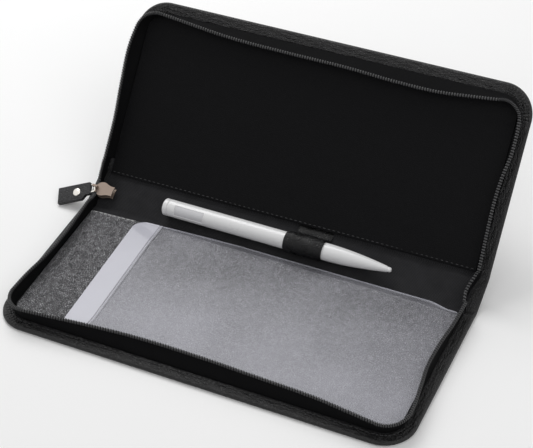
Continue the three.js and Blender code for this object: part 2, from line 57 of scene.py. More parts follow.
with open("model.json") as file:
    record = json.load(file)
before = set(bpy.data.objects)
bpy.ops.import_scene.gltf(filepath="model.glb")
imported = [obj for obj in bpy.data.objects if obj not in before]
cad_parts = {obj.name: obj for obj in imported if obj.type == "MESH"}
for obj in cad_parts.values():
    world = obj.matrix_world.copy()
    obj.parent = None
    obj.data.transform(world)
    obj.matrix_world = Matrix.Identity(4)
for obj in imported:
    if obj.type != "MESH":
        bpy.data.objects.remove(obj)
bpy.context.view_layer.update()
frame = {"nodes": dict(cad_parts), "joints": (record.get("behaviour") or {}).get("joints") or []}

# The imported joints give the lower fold's place and how far each fold stands open at rest
JOINTS = {joint["name"]: joint for joint in frame["joints"]}
LOWER_FOLD = Vector(JOINTS["spine_fold"]["pos_m"])
REST_FOLD = math.radians(-JOINTS["spine_fold"]["range_deg"][0])
LEFT_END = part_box("base_leather")[0].x

MM = 0.001

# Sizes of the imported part, in millimetres
LENGTH = 240
HALF_WIDTH = 105
SPINE_WIDTH = 22.6
CORNER = 18
LEATHER = 0.9
THICKNESS = 3.0
SPINE_THICKNESS = 1.55
HEM_WIDTH = 6.4
TAPE_INSET = 6.6
TAPE = 0.5
TAPE_FOOT = 2.3
TAPE_BEND = 3.7
TAPE_TOP = 10.15
COIL_MIDDLE = 11.15
COIL_HALF_WIDTH = 1.0
COIL_HALF_HEIGHT = 0.9

# How far a sheet's fold reaches to each side of its line
BEND = 2.5

# Hem: the seam's place, the pleats at each corner, and how far the spine's leather laps onto a half
SEAM_INSET = 4.9
PLEATS = 13
SPINE_LAP = 4

# Linings: they reach a little over the hem, and the spine's laps onto both halves
LINING = 0.5
LINING_TOP = 2.8
SPINE_LINING_TOP = 1.5
LINING_LAP = 0.15
LINING_LAP_BASE = 7
LINING_LAP_LID = 5
LINING_STARTS = {"base": 6.5, "lid": 4.5}

# Pocket panels: their layers, their inset from the rim and their edges' distance from the fold
PANEL_LOW = 2.9
PANEL_TOP = 3.6
PANEL_INSET = 7.6
GRAINED_EDGE = 5.9
SMOOTH_EDGE = 1.3

# Sleeve: its four edges, its two welds and the layers of its films
SLEEVE_LEFT = 37
SLEEVE_RIGHT = 232.2
SLEEVE_OPENING = 4
SLEEVE_FRONT = 95.7
SLEEVE_WELDS = (51.2, 53.2)
LOW_FILM = (3.72, 3.82)
TOP_FILM = (3.9, 4.0)

# Pen and loop: the pen lies a little nearer the base than its solid, its plate turned to the base
PEN_PLACE = 9.3
PEN_HEIGHT = 7.6
PEN_START = 50
PEN_RADIUS = 4.95
PEN_LENGTH = 139
CAP_END = 3.05
BARREL_START = 3.15
BARREL_END = 136.5
NOSE_START = 101
NOSE_LENGTH = 35.4
PLATE_MIDDLE = 17
PLATE_LENGTH = 18
PLATE_WIDTH = 6
PLATE_TURN = math.radians(122)
PLATE_GAP = 0.25
LOOP_START = 126.2
LOOP_WIDTH = 23
LOOP_LEATHER = 0.8
LOOP_RADIUS = 6.0

# Pull: the tab's shift from its solid, its span along the link's line from its pivot, and its rivet
TAB_SHIFT = (1.2, -2.4, -0.4)
TAB_START = -2.4
TAB_END = 19.2
TAB_HALF_WIDTH = 5.2
TAB_HALF_THICKNESS = 1.05
RIVET_PLACE = 6.4
RIVET_RADIUS = 2.45
RIVET_BACK_RADIUS = 2.2

# Stage: half the floor's side in metres, and the camera
FLOOR_HALF = 3.0
CAMERA_PLACE = (0.31269, -0.59997, 0.62771)
CAMERA_TURN = (48.4056, 2.0787, 24.8718)
CAMERA_LENS = 111.451

# Each zip runs from 9 mm off the fold, on the slider's side, to 3 mm off it. Its lean inwards is given
# at places along its five legs: 0 to 1 the slider's side, 1 to 2 a corner, 2 to 3 the front, and so on.
ZIP_START = 9
ZIP_END = 3
BASE_LEANS = ((0, 0.1), (0.15, 0.9), (0.4, 1.7), (0.62, 1), (0.85, -1.2), (1.2, -1.9), (1.8, -1.8),
              (2.06, -0.3), (2.16, 1.8), (2.3, 4.1), (2.52, 4.4), (2.68, 3.2), (2.84, 1.8), (2.94, -0.6),
              (3.3, -2.8), (3.8, -3), (4.05, -2.8), (4.2, -1.3), (4.4, 0.8), (4.62, 0.4), (4.8, -1),
              (5, -1.5))
LID_LEANS = ((0, -2), (0.3, -2.2), (0.57, -3.7), (0.85, -4.5), (1.2, -2), (1.8, 0.9), (2.04, 2.2),
             (2.1, 3.4), (2.2, 5.2), (2.4, 6.2), (2.57, 6.4), (2.72, 7.6), (2.83, 7.6), (2.93, 5.6),
             (3.15, 3.2), (3.6, 0.6), (3.95, -1.8), (4.2, -3), (4.42, -1), (5, -2))


# Flat coordinates


def rotate(y, z, about, angle):
    """Turns points of a plane about a point on the line z = 0, by an angle that may vary."""
    away = y - about
    cosine, sine = np.cos(angle), np.sin(angle)
    return about + away * cosine - z * sine, away * sine + z * cosine


def ease(v):
    """Rises smoothly from 0 at v = -1 to 1 at v = 1, by 3t squared minus 2t cubed."""
    t = np.clip((v + 1) / 2, 0, 1)
    return t * t * (3 - 2 * t)


def place(x, a, w, bend=BEND):
    """The flat cover turned up about the upper fold, then about the lower one, in metres.

    Each fold turns a point by the rest angle times a weight that rises within bend of the fold.
    """
    x, a, w = np.broadcast_arrays(np.asarray(x, float), a, w)
    y, z = rotate(a, w - LEATHER, SPINE_WIDTH, REST_FOLD * ease((a - SPINE_WIDTH) / bend))
    y, z = rotate(y, z, 0, REST_FOLD * ease(a / bend))
    return np.stack([LEFT_END + x * MM, LOWER_FOLD.y + y * MM, LOWER_FOLD.z + z * MM], -1)


def on_base(x, u, w):
    """A point of the base, u from its fold."""
    return place(x, -np.asarray(u, float), w)


def on_lid(x, u, w):
    """A point of the lid, u from its fold."""
    return place(x, SPINE_WIDTH + np.asarray(u, float), w)


HALVES = (("base", on_base), ("lid", on_lid))


def rim(start, end, count):
    """The outline of a half by arc length: side, quarter circle, front, quarter circle, side.

    It holds the point, the way inwards, the distance run, the leg and the share of that leg.
    """
    side = HALF_WIDTH - CORNER
    front = LENGTH - 2 * CORNER
    lengths = np.array([side - start, CORNER * math.pi / 2, front, CORNER * math.pi / 2, side - end])
    marks = np.concatenate([[0], np.cumsum(lengths)])
    arc = np.linspace(0, marks[-1], count)
    leg = np.clip(np.searchsorted(marks, arc, side="right") - 1, 0, 4)
    t = (arc - marks[leg]) / lengths[leg]
    turn = np.where(leg == 1, math.pi - t * math.pi / 2, math.pi / 2 - t * math.pi / 2)
    legs = [leg == k for k in range(5)]
    x = np.select(legs, [0 * t, CORNER + CORNER * np.cos(turn), CORNER + front * t,
                         LENGTH - CORNER + CORNER * np.cos(turn), LENGTH + 0 * t])
    u = np.select(legs, [start + lengths[0] * t, side + CORNER * np.sin(turn), HALF_WIDTH + 0 * t,
                         side + CORNER * np.sin(turn), side - lengths[4] * t])
    nx = np.select(legs, [1 + 0 * t, -np.cos(turn), 0 * t, -np.cos(turn), -1 + 0 * t])
    nu = np.select(legs, [0 * t, -np.sin(turn), -1 + 0 * t, -np.sin(turn), 0 * t])
    return SimpleNamespace(x=x, u=u, nx=nx, nu=nu, arc=arc, leg=leg, t=t)


def smooth_through(s, stations):
    """A cubic curve through each pair of stations, with the slopes that their neighbours give."""
    at, value = np.array(stations, float).T
    slope = np.gradient(value, at)
    k = np.clip(np.searchsorted(at, s, side="right") - 1, 0, len(at) - 2)
    span = at[k + 1] - at[k]
    t = (s - at[k]) / span
    ends = value[k] * (1 + 2 * t) * (1 - t) ** 2 + value[k + 1] * t * t * (3 - 2 * t)
    return ends + span * (slope[k] * t * (1 - t) ** 2 - slope[k + 1] * t * t * (1 - t))


def lean(path, leans):
    """How far the zip leans inwards along the outline of a half."""
    legs, leaning = np.array(leans).T
    places = np.interp(legs, path.leg + path.t, path.arc)
    return smooth_through(path.arc, np.stack([places, leaning], 1))


def waves(p, q, seed, count=7, low=0.05, high=0.5):
    """A smooth uneven height between about -1 and 1: sines of random direction and length, summed."""
    rng = np.random.default_rng(seed)
    size = rng.uniform(low, high, count)
    turn = rng.uniform(0, 2 * math.pi, count)
    phase = rng.uniform(0, 2 * math.pi, count)
    total = 0 * (p + q)
    for k in range(count):
        total = total + np.sin(size[k] * (p * np.cos(turn[k]) + q * np.sin(turn[k])) + phase[k])
    return total / math.sqrt(count)


# Meshes


def grid_faces(rows, columns, closed_rows=False, closed_columns=False):
    """Quads between neighbouring rows and columns of a grid of points."""
    i = np.arange(rows if closed_rows else rows - 1)
    j = np.arange(columns if closed_columns else columns - 1)
    i, j = np.meshgrid(i, j, indexing="ij")
    i, j = i.ravel(), j.ravel()
    k, m = (i + 1) % rows, (j + 1) % columns
    return np.stack([i * columns + j, i * columns + m, k * columns + m, k * columns + j], -1)


def build(name, parts, look, body, lay=None, stands_for=(), sharp=40):
    """One piece from parts, each a pair of points and faces. Doubles are merged and faces turned out.

    lay is an optional array of pattern coordinates, in metres, one row to a point.
    """
    vertices, faces, first = [], [], 0
    for points, quads in parts:
        points = np.asarray(points, float).reshape(-1, 3)
        vertices.append(points)
        faces += [tuple(int(v) + first for v in face) for face in quads]
        first += len(points)
    data = bpy.data.meshes.new(name)
    data.from_pydata(np.concatenate(vertices), [], faces)
    if lay is not None:
        attribute = data.attributes.new("lay", "FLOAT_VECTOR", "POINT")
        attribute.data.foreach_set("vector", np.asarray(lay, np.float32).ravel())
    work = bmesh.new()
    work.from_mesh(data)
    bmesh.ops.remove_doubles(work, verts=work.verts, dist=1e-7)
    bmesh.ops.recalc_face_normals(work, faces=work.faces)
    work.to_mesh(data)
    work.free()
    data.shade_smooth()
    data.set_sharp_from_angle(angle=math.radians(sharp))
    data.materials.append(look)
    thing = bpy.data.objects.new(name, data)
    bpy.context.scene.collection.objects.link(thing)
    if isinstance(body, str):
        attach(thing, body)
    else:
        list(body)
        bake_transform(thing)
    if stands_for:
        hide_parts(*stands_for)
    return thing


def band(points):
    """A closed section carried along a path: the grid's columns close, and both ends are capped."""
    rows, columns = points.shape[:2]
    faces = grid_faces(rows, columns, closed_columns=True).tolist()
    faces.append(list(range(columns)))
    faces.append(list(range((rows - 1) * columns, rows * columns)))
    return points, faces


def lower_blend(bend=BEND):
    """The stretch over which a sheet turns from the base to the spine."""
    start = place(0, -bend, LEATHER, bend)
    end = place(0, bend, LEATHER, bend)
    return "base", "spine", tuple(start), tuple(end)


def upper_blend(bend=BEND):
    """The stretch over which a sheet turns from the spine to the lid."""
    start = place(0, SPINE_WIDTH - bend, LEATHER, bend)
    end = place(0, SPINE_WIDTH + bend, LEATHER, bend)
    return "spine", "lid", tuple(start), tuple(end)


def stitch_parts(points, along, up, length, radius, rings=6, sides=6):
    """Stitches as small spindles: rings along each one, whose radius is a root of 1 - t to the fourth.

    points are their middles, along the way they run and up the way out of the leather.
    """
    along = along / np.linalg.norm(along, axis=-1, keepdims=True)
    across = np.cross(along, up)
    across = across / np.linalg.norm(across, axis=-1, keepdims=True)
    up = np.cross(across, along)
    t = np.linspace(-1, 1, rings)
    size = radius * MM * np.sqrt(np.clip(1 - t ** 4, 0, None))
    turn = np.linspace(0, 2 * math.pi, sides + 1)[:-1]
    shape = (None, slice(None), None, None)
    way = (slice(None), None, None, slice(None))
    ring = np.cos(turn)[None, None, :, None] * across[way] + np.sin(turn)[None, None, :, None] * up[way]
    grid = points[way] + along[way] * (t * length * MM / 2)[shape] + ring * size[shape]
    one = grid_faces(rings, sides, closed_columns=True)
    faces = one[None] + (np.arange(len(points)) * rings * sides)[:, None, None]
    return grid.reshape(-1, 3), faces.reshape(-1, 4).tolist()


def stitch_row(put, x, u, w, length, radius):
    """A row of stitches on a half: their places, the way to the next one, and the way out."""
    points = put(x, u, w)
    along = np.gradient(points, axis=0)
    up = put(x, u, w + 1) - points
    return stitch_parts(points, along, up, length, radius)


def soft_edges(name, node, width, look, body, shift=(0, 0, 0)):
    """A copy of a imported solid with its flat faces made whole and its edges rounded."""
    solid = frame["nodes"][node]
    data = solid.data.copy()
    data.name = name
    data.transform(solid.matrix_world)
    work = bmesh.new()
    work.from_mesh(data)
    bmesh.ops.remove_doubles(work, verts=work.verts, dist=1e-6)
    bmesh.ops.dissolve_limit(work, angle_limit=math.radians(2), verts=work.verts, edges=work.edges)
    bmesh.ops.translate(work, verts=work.verts, vec=Vector(shift) * MM)
    work.to_mesh(data)
    work.free()
    data.materials.clear()
    data.materials.append(look)
    data.shade_smooth()
    data.set_sharp_from_angle(angle=math.radians(40))
    thing = bpy.data.objects.new(name, data)
    bpy.context.scene.collection.objects.link(thing)
    bevel = thing.modifiers.new("rounding", "BEVEL")
    bevel.width = width * MM
    bevel.segments = 3
    bevel.limit_method = "ANGLE"
    bevel.angle_limit = math.radians(35)
    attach(thing, body)
    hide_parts(node)
    return thing


# Materials


class Value:
    """A number in a shader. Adding, taking away and multiplying make Math nodes."""

    def __init__(self, look, socket):
        self.look = look
        self.socket = socket

    def __add__(self, other):
        return self.look.math("ADD", self, other)

    def __sub__(self, other):
        return self.look.math("SUBTRACT", self, other)

    def __rsub__(self, other):
        return self.look.math("SUBTRACT", other, self)

    def __mul__(self, other):
        return self.look.math("MULTIPLY", self, other)

    __radd__ = __add__
    __rmul__ = __mul__


class Look:
    """A material under construction: one Principled shader and the nodes that vary it."""

    def __init__(self, name, colour, roughness, **fixed):
        self.material = bpy.data.materials.new(name)
        self.material.use_nodes = True
        self.tree = self.material.node_tree
        self.shader = self.tree.nodes["Principled BSDF"]
        self.shader.inputs["Base Color"].default_value = (*colour, 1)
        self.shader.inputs["Roughness"].default_value = roughness
        for socket, value in fixed.items():
            self.shader.inputs[socket.replace("_", " ").title().replace("Ior", "IOR")].default_value = value
        self.material.diffuse_color = (*colour, 1)

    def node(self, kind, settings=None, inputs=None, output=0):
        """Any node: its type, its settings, then the values or links of its sockets."""
        node = self.tree.nodes.new(kind)
        for key, value in (settings or {}).items():
            setattr(node, key, value)
        for key, value in (inputs or {}).items():
            socket = node.inputs[key]
            if isinstance(value, Value):
                self.tree.links.new(value.socket, socket)
            else:
                socket.default_value = value
        return Value(self, node.outputs[output])

    def math(self, operation, *values):
        """A Math node on one or two values."""
        return self.node("ShaderNodeMath", {"operation": operation}, dict(enumerate(values)))

    def coordinates(self, source="Object"):
        """Object coordinates, or the piece's own lay attribute."""
        if source == "Object":
            return self.node("ShaderNodeTexCoord", output="Object")
        return self.node("ShaderNodeAttribute", {"attribute_name": source}, output="Vector")

    def noise(self, where, scale, detail=4, roughness=0.55):
        """Cloudy noise between 0 and 1."""
        sockets = {"Vector": where, "Scale": scale, "Detail": detail, "Roughness": roughness}
        return self.node("ShaderNodeTexNoise", {}, sockets)

    def cell_edges(self, where, scale, randomness):
        """The distance to the nearest edge between two cells."""
        sockets = {"Vector": where, "Scale": scale, "Randomness": randomness}
        return self.node("ShaderNodeTexVoronoi", {"feature": "DISTANCE_TO_EDGE"}, sockets)

    def between(self, value, low, high, to_low=0.0, to_high=1.0):
        """The value's place between low and high, eased, as a number from to_low to to_high."""
        sockets = {"Value": value, "From Min": low, "From Max": high, "To Min": to_low, "To Max": to_high}
        return self.node("ShaderNodeMapRange", {"interpolation_type": "SMOOTHSTEP"}, sockets)

    def blend(self, factor, first, second):
        """A colour between two."""
        settings = {"data_type": "RGBA"}
        sockets = {0: factor, 6: (*first, 1) if isinstance(first, tuple) else first, 7: (*second, 1)}
        return self.node("ShaderNodeMix", settings, sockets, output=2)

    def bump(self, height, distance, strength=1.0, over=None):
        """Turns a height, in metres once it is times distance, into a normal."""
        sockets = {"Height": height, "Distance": distance, "Strength": strength}
        if over is not None:
            sockets["Normal"] = over
        return self.node("ShaderNodeBump", {}, sockets)

    def split(self, where):
        """The first two numbers of a place."""
        parts = self.node("ShaderNodeSeparateXYZ", {}, {0: where})
        return parts, Value(self, parts.socket.node.outputs[1])

    def feed(self, socket, value):
        """Links a value to a socket of the shader."""
        self.tree.links.new(value.socket, self.shader.inputs[socket])
        return self


def leather_look(name, colour, light, grain, depth, roughness, shine, crinkle=0.0):
    """Leather: pebbles from the distance to cell edges, lighter on their tops and darker in the creases
    between, partly grain tone and partly painted highlight and shade, finer pores, and a soft uneven sheen.

    grain is the number of pebbles in a metre, and depth and crinkle are heights in metres.
    """
    look = Look(name, colour, roughness, specular_ior_level=shine)
    where = look.coordinates()
    wander = look.noise(where, grain * 0.35, 2)
    pebbles = look.cell_edges(where, grain, 0.9)
    top = look.between(pebbles, 0.0, 0.28)
    pores = look.noise(where, grain * 2.6, 3)
    height = top * 0.8 + pores * 0.35
    normal = look.bump(height, depth)
    if crinkle:
        folds = look.noise(where, 160, 3, 0.65)
        normal = look.bump(folds, crinkle, over=normal)
    look.feed("Normal", normal)
    # Pebble tops take the light colour and the cell edges between them the dark one: partly the grain's own
    # tone, partly a painted highlight on the tops and painted shade in the creases.
    look.feed("Base Color", look.blend(top * look.between(wander, 0.3, 0.7, 0.4, 1.0), colour, light))
    look.feed("Roughness", look.between(wander, 0.25, 0.75, roughness - 0.07, roughness + 0.08))
    return look.material


def cloth_look(name, colour, light, threads, depth, roughness, source="Object"):
    """Woven cloth: two sets of fine threads crossing over and under, with a little uneven wear.

    threads is their number in a metre.
    """
    look = Look(name, colour, roughness, specular_ior_level=0.06)
    where = look.coordinates(source)
    turns = 2 * math.pi * threads
    first, second = look.split(where)
    over = look.math("SINE", first * turns)
    under = look.math("SINE", second * turns)
    weave = over * under * 0.5 + 0.5
    wear = look.noise(where, 120, 4)
    look.feed("Normal", look.bump(weave + wear * 0.6, depth))
    look.feed("Base Color", look.blend(weave * look.between(wear, 0.1, 0.9, 0.6, 1.0), colour, light))
    return look.material


def plain_look(name, colour, roughness, uneven=0.04, scale=60, bump=0.0, **fixed):
    """A plain finish with slightly uneven roughness and, where asked, a faint wave."""
    look = Look(name, colour, roughness, **fixed)
    where = look.coordinates()
    wander = look.noise(where, scale, 3)
    look.feed("Roughness", look.between(wander, 0.2, 0.8, roughness - uneven, roughness + uneven))
    if bump:
        look.feed("Normal", look.bump(look.noise(where, scale * 6, 3), bump))
    return look.material


def coil_look(name, gap, tooth):
    """Nylon coil: painted shade, near black, between the teeth and a painted highlight, lighter, on their
    crests; dull between the teeth and glossy on them, by the coil's own fullness.
    """
    look = Look(name, tooth, 0.2, specular_ior_level=0.3)
    fullness, _ = look.split(look.coordinates("lay"))
    # Painted shade: the gaps between the teeth are near black. Painted highlight: the crests are lighter.
    painted_crest_highlight = look.between(fullness, 0.55, 0.95)
    look.feed("Base Color", look.blend(painted_crest_highlight, gap, tooth))
    look.feed("Roughness", look.between(fullness, 0.55, 0.95, 0.95, 0.2))
    return look.material


def vinyl_look(name, colour, alpha):
    """Frosted film: clearer towards its open edge and paler away from it, a painted reflection of soft
    light, milky in the margin beyond its weld, with clouds.

    It reads the film's own flat place, in metres: x along the spine and u from the base's fold.
    """
    look = Look(name, colour, 0.3, specular_ior_level=0.5)
    where = look.coordinates("lay")
    x, u = look.split(where)
    cloud = look.between(look.noise(where, 22, 3, 0.5), 0.25, 0.75, -0.02, 0.03)
    # The alpha rises away from the opening, so the pale film paints the reflection of soft light as a
    # gradient.
    body = look.between(u, 0.01, 0.09, 0.35 * alpha, alpha) + cloud
    margin = look.between(x, 0.0502, 0.0535, 1.0, 0.0)
    edge = look.between(u, 0.0044, 0.0052, 1.0, 0.0)
    first, second = SLEEVE_WELDS
    weld = look.math("ABSOLUTE", x - (first + second) / 2 * MM)
    weld = look.math("ABSOLUTE", weld - (second - first) / 2 * MM)
    line = look.between(weld, 0.0002, 0.0006, 0.6, 0.0)
    milk_and_painted_reflection = (body + margin * 3.2 * alpha + edge * 1.2 * alpha) * (1 - line)
    look.feed("Alpha", milk_and_painted_reflection)
    look.feed("Normal", look.bump(look.noise(where, 380, 3), 0.00003))
    return look.material


# Settings


class CoverLooks(bpy.types.PropertyGroup):
    """The sizes and colours of the cover that a user would change."""

    tooth_pitch: bpy.props.FloatProperty(
        name="Tooth pitch", description="From one coil tooth to the next, in millimetres",
        default=1.52, min=1.0, max=3.0)
    stitch_pitch: bpy.props.FloatProperty(
        name="Stitch pitch", description="From one stitch to the next, in millimetres",
        default=2.9, min=1.0, max=6.0)
    pleat_depth: bpy.props.FloatProperty(
        name="Pleat depth", description="Depth of the hem's pleats at the corners, in millimetres",
        default=0.75, min=0.0, max=1.0)
    leather_colour: bpy.props.FloatVectorProperty(
        name="Leather", description="Colour of the outer leather", subtype="COLOR",
        default=(0.006, 0.0057, 0.006), min=0, max=1)
    panel_colour: bpy.props.FloatVectorProperty(
        name="Grained panel", description="Colour of the pebbled pocket panel", subtype="COLOR",
        default=(0.045, 0.045, 0.049), min=0, max=1)
    film_colour: bpy.props.FloatVectorProperty(
        name="Sleeve film", description="Colour of the frosted sleeve", subtype="COLOR",
        default=(0.62, 0.62, 0.69), min=0, max=1)
    film_alpha: bpy.props.FloatProperty(
        name="Sleeve milkiness", description="How much of what lies behind the film it hides",
        default=0.17, min=0.0, max=1.0, subtype="FACTOR")


LOOKS = {}


def make_looks(settings):
    """Every finish of the cover, kept by name for the operators."""
    leather = tuple(settings.leather_colour)
    panel = tuple(settings.panel_colour)
    LOOKS["leather"] = leather_look(
        "black leather", leather, (0.024, 0.024, 0.025), 900, 0.0002, 0.38, 0.28, 0.0005)
    # The tab's pebble tops, far lighter than its black ground, carry painted highlights.
    LOOKS["tab"] = leather_look(
        "tab leather", (0.008, 0.008, 0.009), (0.07, 0.07, 0.075), 900, 0.0004, 0.4, 0.3)
    LOOKS["loop"] = leather_look(
        "loop leather", (0.003, 0.003, 0.0033), (0.009, 0.009, 0.0098), 900, 0.00015, 0.3, 0.2)
    # The pebble tops' pale colour, about ten times the panel's own, is a painted sheen standing in for the
    # soft light the panel reflects.
    LOOKS["grained"] = leather_look(
        "pebbled leather with painted sheen", panel, (0.5, 0.5, 0.52), 1000, 0.0009, 0.36, 0.55)
    LOOKS["smooth"] = leather_look(
        "smooth leather", (0.0035, 0.0035, 0.004), (0.007, 0.007, 0.0078), 1100, 0.00005, 0.5, 0.06)
    LOOKS["lining"] = cloth_look(
        "woven lining", (0.006, 0.006, 0.0065), (0.055, 0.055, 0.059), 1000, 0.0002, 0.75)
    LOOKS["tape"] = cloth_look(
        "zip tape", (0.0022, 0.0022, 0.0025), (0.007, 0.007, 0.0075), 1300, 0.0001, 0.8, "lay")
    # The coil's gap colour is painted shade between the teeth, and its tooth colour is a painted highlight
    # on their crests.
    LOOKS["coil"] = coil_look("nylon coil with painted shade and highlights", (0.0005, 0.0005, 0.0005), (0.05, 0.05, 0.052))
    LOOKS["thread"] = plain_look("black thread", (0.03, 0.03, 0.032), 0.4, specular_ior_level=0.4)
    LOOKS["pale thread"] = plain_look("pale thread", (0.5, 0.5, 0.5), 0.5)
    LOOKS["film"] = vinyl_look("frosted film", tuple(settings.film_colour), settings.film_alpha)
    LOOKS["pen"] = plain_look("white plastic", (0.8, 0.8, 0.805), 0.3, coat_weight=0.2)
    LOOKS["plate"] = plain_look("inset plate", (0.66, 0.66, 0.68), 0.35)
    LOOKS["nickel"] = plain_look(
        "antique nickel", (0.26, 0.205, 0.17), 0.5, 0.06, 300, 0.00002, metallic=0.7)
    LOOKS["silver"] = plain_look("bright rivet", (0.8, 0.77, 0.72), 0.28, metallic=1.0)
    LOOKS["board"] = plain_look("paperboard", (0.36, 0.31, 0.26), 0.9)


# Leather


def hem_relief(path, inset, pleat_depth):
    """How far the turned-in hem lies below its full height.

    At a corner, the gathered leather makes pleats: the height falls to a sharp line between even
    ridges, deeper towards the hem's inner edge. Along the sides it only waves a little.
    """
    reach = np.clip(inset / HEM_WIDTH, 0, 1)
    corner = (path.leg % 2 == 1)[:, None]
    ridge = np.abs(np.sin(PLEATS * math.pi * path.t))[:, None] ** 0.6
    pleats = pleat_depth * (1 - ridge) * (0.25 + 0.75 * reach)
    along = path.arc[:, None] + 0 * inset
    crinkle = 0.12 * waves(along, 2.2 * inset, 11, 11, 0.7, 3.4)
    crinkle += 0.07 * waves(along, inset, 5, 6, 0.15, 0.6)
    groove = 0.16 * np.exp(-((inset - SEAM_INSET) / 0.35) ** 2)
    relief = np.where(corner, pleats, 0) + crinkle * np.clip(inset / 1.2, 0, 1) + groove
    return relief * np.clip(np.minimum(path.arc, path.arc[-1] - path.arc) / 6, 0, 1)[:, None]


def leather_half(start, pleat_depth, count=900):
    """Leather of a half as one closed skin.

    A section is carried round the outline: the outer face from the middle of the fold out to the
    rim, half a circle round the edge, the hem's top, its inner edge, and the inside face back.
    """
    path = rim(start, start, count)
    roll = THICKNESS / 2
    turn = np.linspace(0, math.pi, 15)[1:-1]
    round_inset = roll - roll * np.sin(turn)
    round_w = roll - roll * np.cos(turn)
    hem = np.concatenate([np.linspace(roll, HEM_WIDTH - 0.35, 16), [HEM_WIDTH - 0.12, HEM_WIDTH]])
    drop = np.concatenate([np.zeros(16), [0.06, 0.25]])
    inset = np.concatenate([[roll], round_inset, hem, [HEM_WIDTH, 4.0, 4.0]])
    w = np.concatenate([[0], round_w, THICKNESS - drop, [2.2, 2.2, LEATHER]])
    inset = np.broadcast_to(inset, (count, len(inset))).copy()
    relief = hem_relief(path, inset, pleat_depth)
    height = np.broadcast_to(w, inset.shape).copy()
    upper = np.clip((height - 1.2) / (THICKNESS - 1.2), 0, 1)
    height -= relief * upper
    x = path.x[:, None] + path.nx[:, None] * inset
    u = path.u[:, None] + path.nu[:, None] * inset
    middle = np.linspace(0, 1, 9)[:-1]
    outer_x = LENGTH / 2 + middle * (x[:, :1] - LENGTH / 2)
    outer_u = start + middle * (u[:, :1] - start)
    inner = middle[::-1]
    inner_x = LENGTH / 2 + inner * (x[:, -1:] - LENGTH / 2)
    inner_u = start + inner * (u[:, -1:] - start)
    x = np.concatenate([outer_x, x, inner_x], 1)
    u = np.concatenate([outer_u, u, inner_u], 1)
    height = np.concatenate([0 * outer_x, height, LEATHER + 0 * inner_x], 1)
    return x, u, height


def spine_thickness(a):
    """The hem stands at full height on the halves and drops to the spine's between its folds."""
    rise = 1 - ease((a - 0.5) / 3.5) + ease((a - SPINE_WIDTH + 0.5) / 3.5)
    return SPINE_THICKNESS + (THICKNESS - SPINE_THICKNESS) * rise


def spine_leather(low, high):
    """Leather over the spine, its ends rolled in: a flat section along x, carried along a."""
    a = np.linspace(low, high, 40)[:, None]
    thick = spine_thickness(a)
    turn = np.linspace(0, math.pi, 13)
    middle = np.linspace(0.15, 0.85, 9)
    roll = thick / 2
    right_x = LENGTH - roll + roll * np.sin(turn)
    right_w = roll - roll * np.cos(turn)
    left_x = roll - roll * np.sin(turn)
    ones = np.ones_like(a)
    left, right, skin = ones * HEM_WIDTH, ones * (LENGTH - HEM_WIDTH), ones * LEATHER
    x = np.concatenate([left_x[:, ::-1], ones * middle * LENGTH, right_x, right, right,
                        ones * (LENGTH * middle[::-1]), left, left], 1)
    w = np.concatenate([right_w[:, ::-1], 0 * ones * middle, right_w, thick, skin,
                        skin + 0 * middle, skin, thick], 1)
    return place(x, a, w)


class COVER_OT_leather(bpy.types.Operator):
    """Outer leather of the base, the spine and the lid, with its rolled and pleated hem"""

    bl_idname = "cover.leather"
    bl_label = "Outer leather"

    def execute(self, context):
        depth = context.scene.cover_looks.pleat_depth
        x, u, w = leather_half(SPINE_LAP, depth)
        build("base_cover_leather", [band(on_base(x, u, w))], LOOKS["leather"], "base",
              stands_for=["base_leather"])
        build("lid_cover_leather", [band(on_lid(x, u, w))], LOOKS["leather"], "lid",
              stands_for=["lid_leather"])
        middle = SPINE_WIDTH / 2
        build("spine_leather_lower", [band(spine_leather(-SPINE_LAP, middle))], LOOKS["leather"],
              lower_blend(), stands_for=["spine_leather"])
        build("spine_leather_upper", [band(spine_leather(middle, SPINE_WIDTH + SPINE_LAP))],
              LOOKS["leather"], upper_blend())
        pitch = context.scene.cover_looks.stitch_pitch
        path = rim(5, 5, int(rim(5, 5, 2).arc[-1] / pitch))
        hem_x, hem_u = path.x + path.nx * SEAM_INSET, path.u + path.nu * SEAM_INSET
        for name, put in HALVES:
            build(f"{name}_hem_stitches", [stitch_row(put, hem_x, hem_u, THICKNESS - 0.04, 1.9, 0.26)],
                  LOOKS["thread"], name)
        return {"FINISHED"}


# Lining and panels


def rounded_outline(x0, x1, u0, u1, radii, step=1.0):
    """A rectangle with four rounded corners, as points and ways outwards, step apart.

    The corners are given in order: low x and low u, high x and low u, high x and high u, then
    low x and high u.
    """
    centres = [(x0 + radii[0], u0 + radii[0]), (x1 - radii[1], u0 + radii[1]),
               (x1 - radii[2], u1 - radii[2]), (x0 + radii[3], u1 - radii[3])]
    xs, us, nxs, nus = [], [], [], []
    for k, (cx, cu) in enumerate(centres):
        begin = math.pi + k * math.pi / 2
        turn = np.linspace(begin, begin + math.pi / 2, max(5, int(radii[k] * 1.6 / step) + 2))
        nx, nu = np.cos(turn), np.sin(turn)
        xs.append(cx + radii[k] * nx)
        us.append(cu + radii[k] * nu)
        nxs.append(nx)
        nus.append(nu)
        follow = centres[(k + 1) % 4]
        end = begin + math.pi / 2
        fx = follow[0] + radii[(k + 1) % 4] * math.cos(end)
        fu = follow[1] + radii[(k + 1) % 4] * math.sin(end)
        gap = math.hypot(fx - xs[-1][-1], fu - us[-1][-1])
        share = np.linspace(0, 1, max(3, int(gap / step)))[1:-1]
        xs.append(xs[-1][-1] + (fx - xs[-1][-1]) * share)
        us.append(us[-1][-1] + (fu - us[-1][-1]) * share)
        nxs.append(np.full(share.shape, math.cos(end)))
        nus.append(np.full(share.shape, math.sin(end)))
    return tuple(np.concatenate(v) for v in (xs, us, nxs, nus))


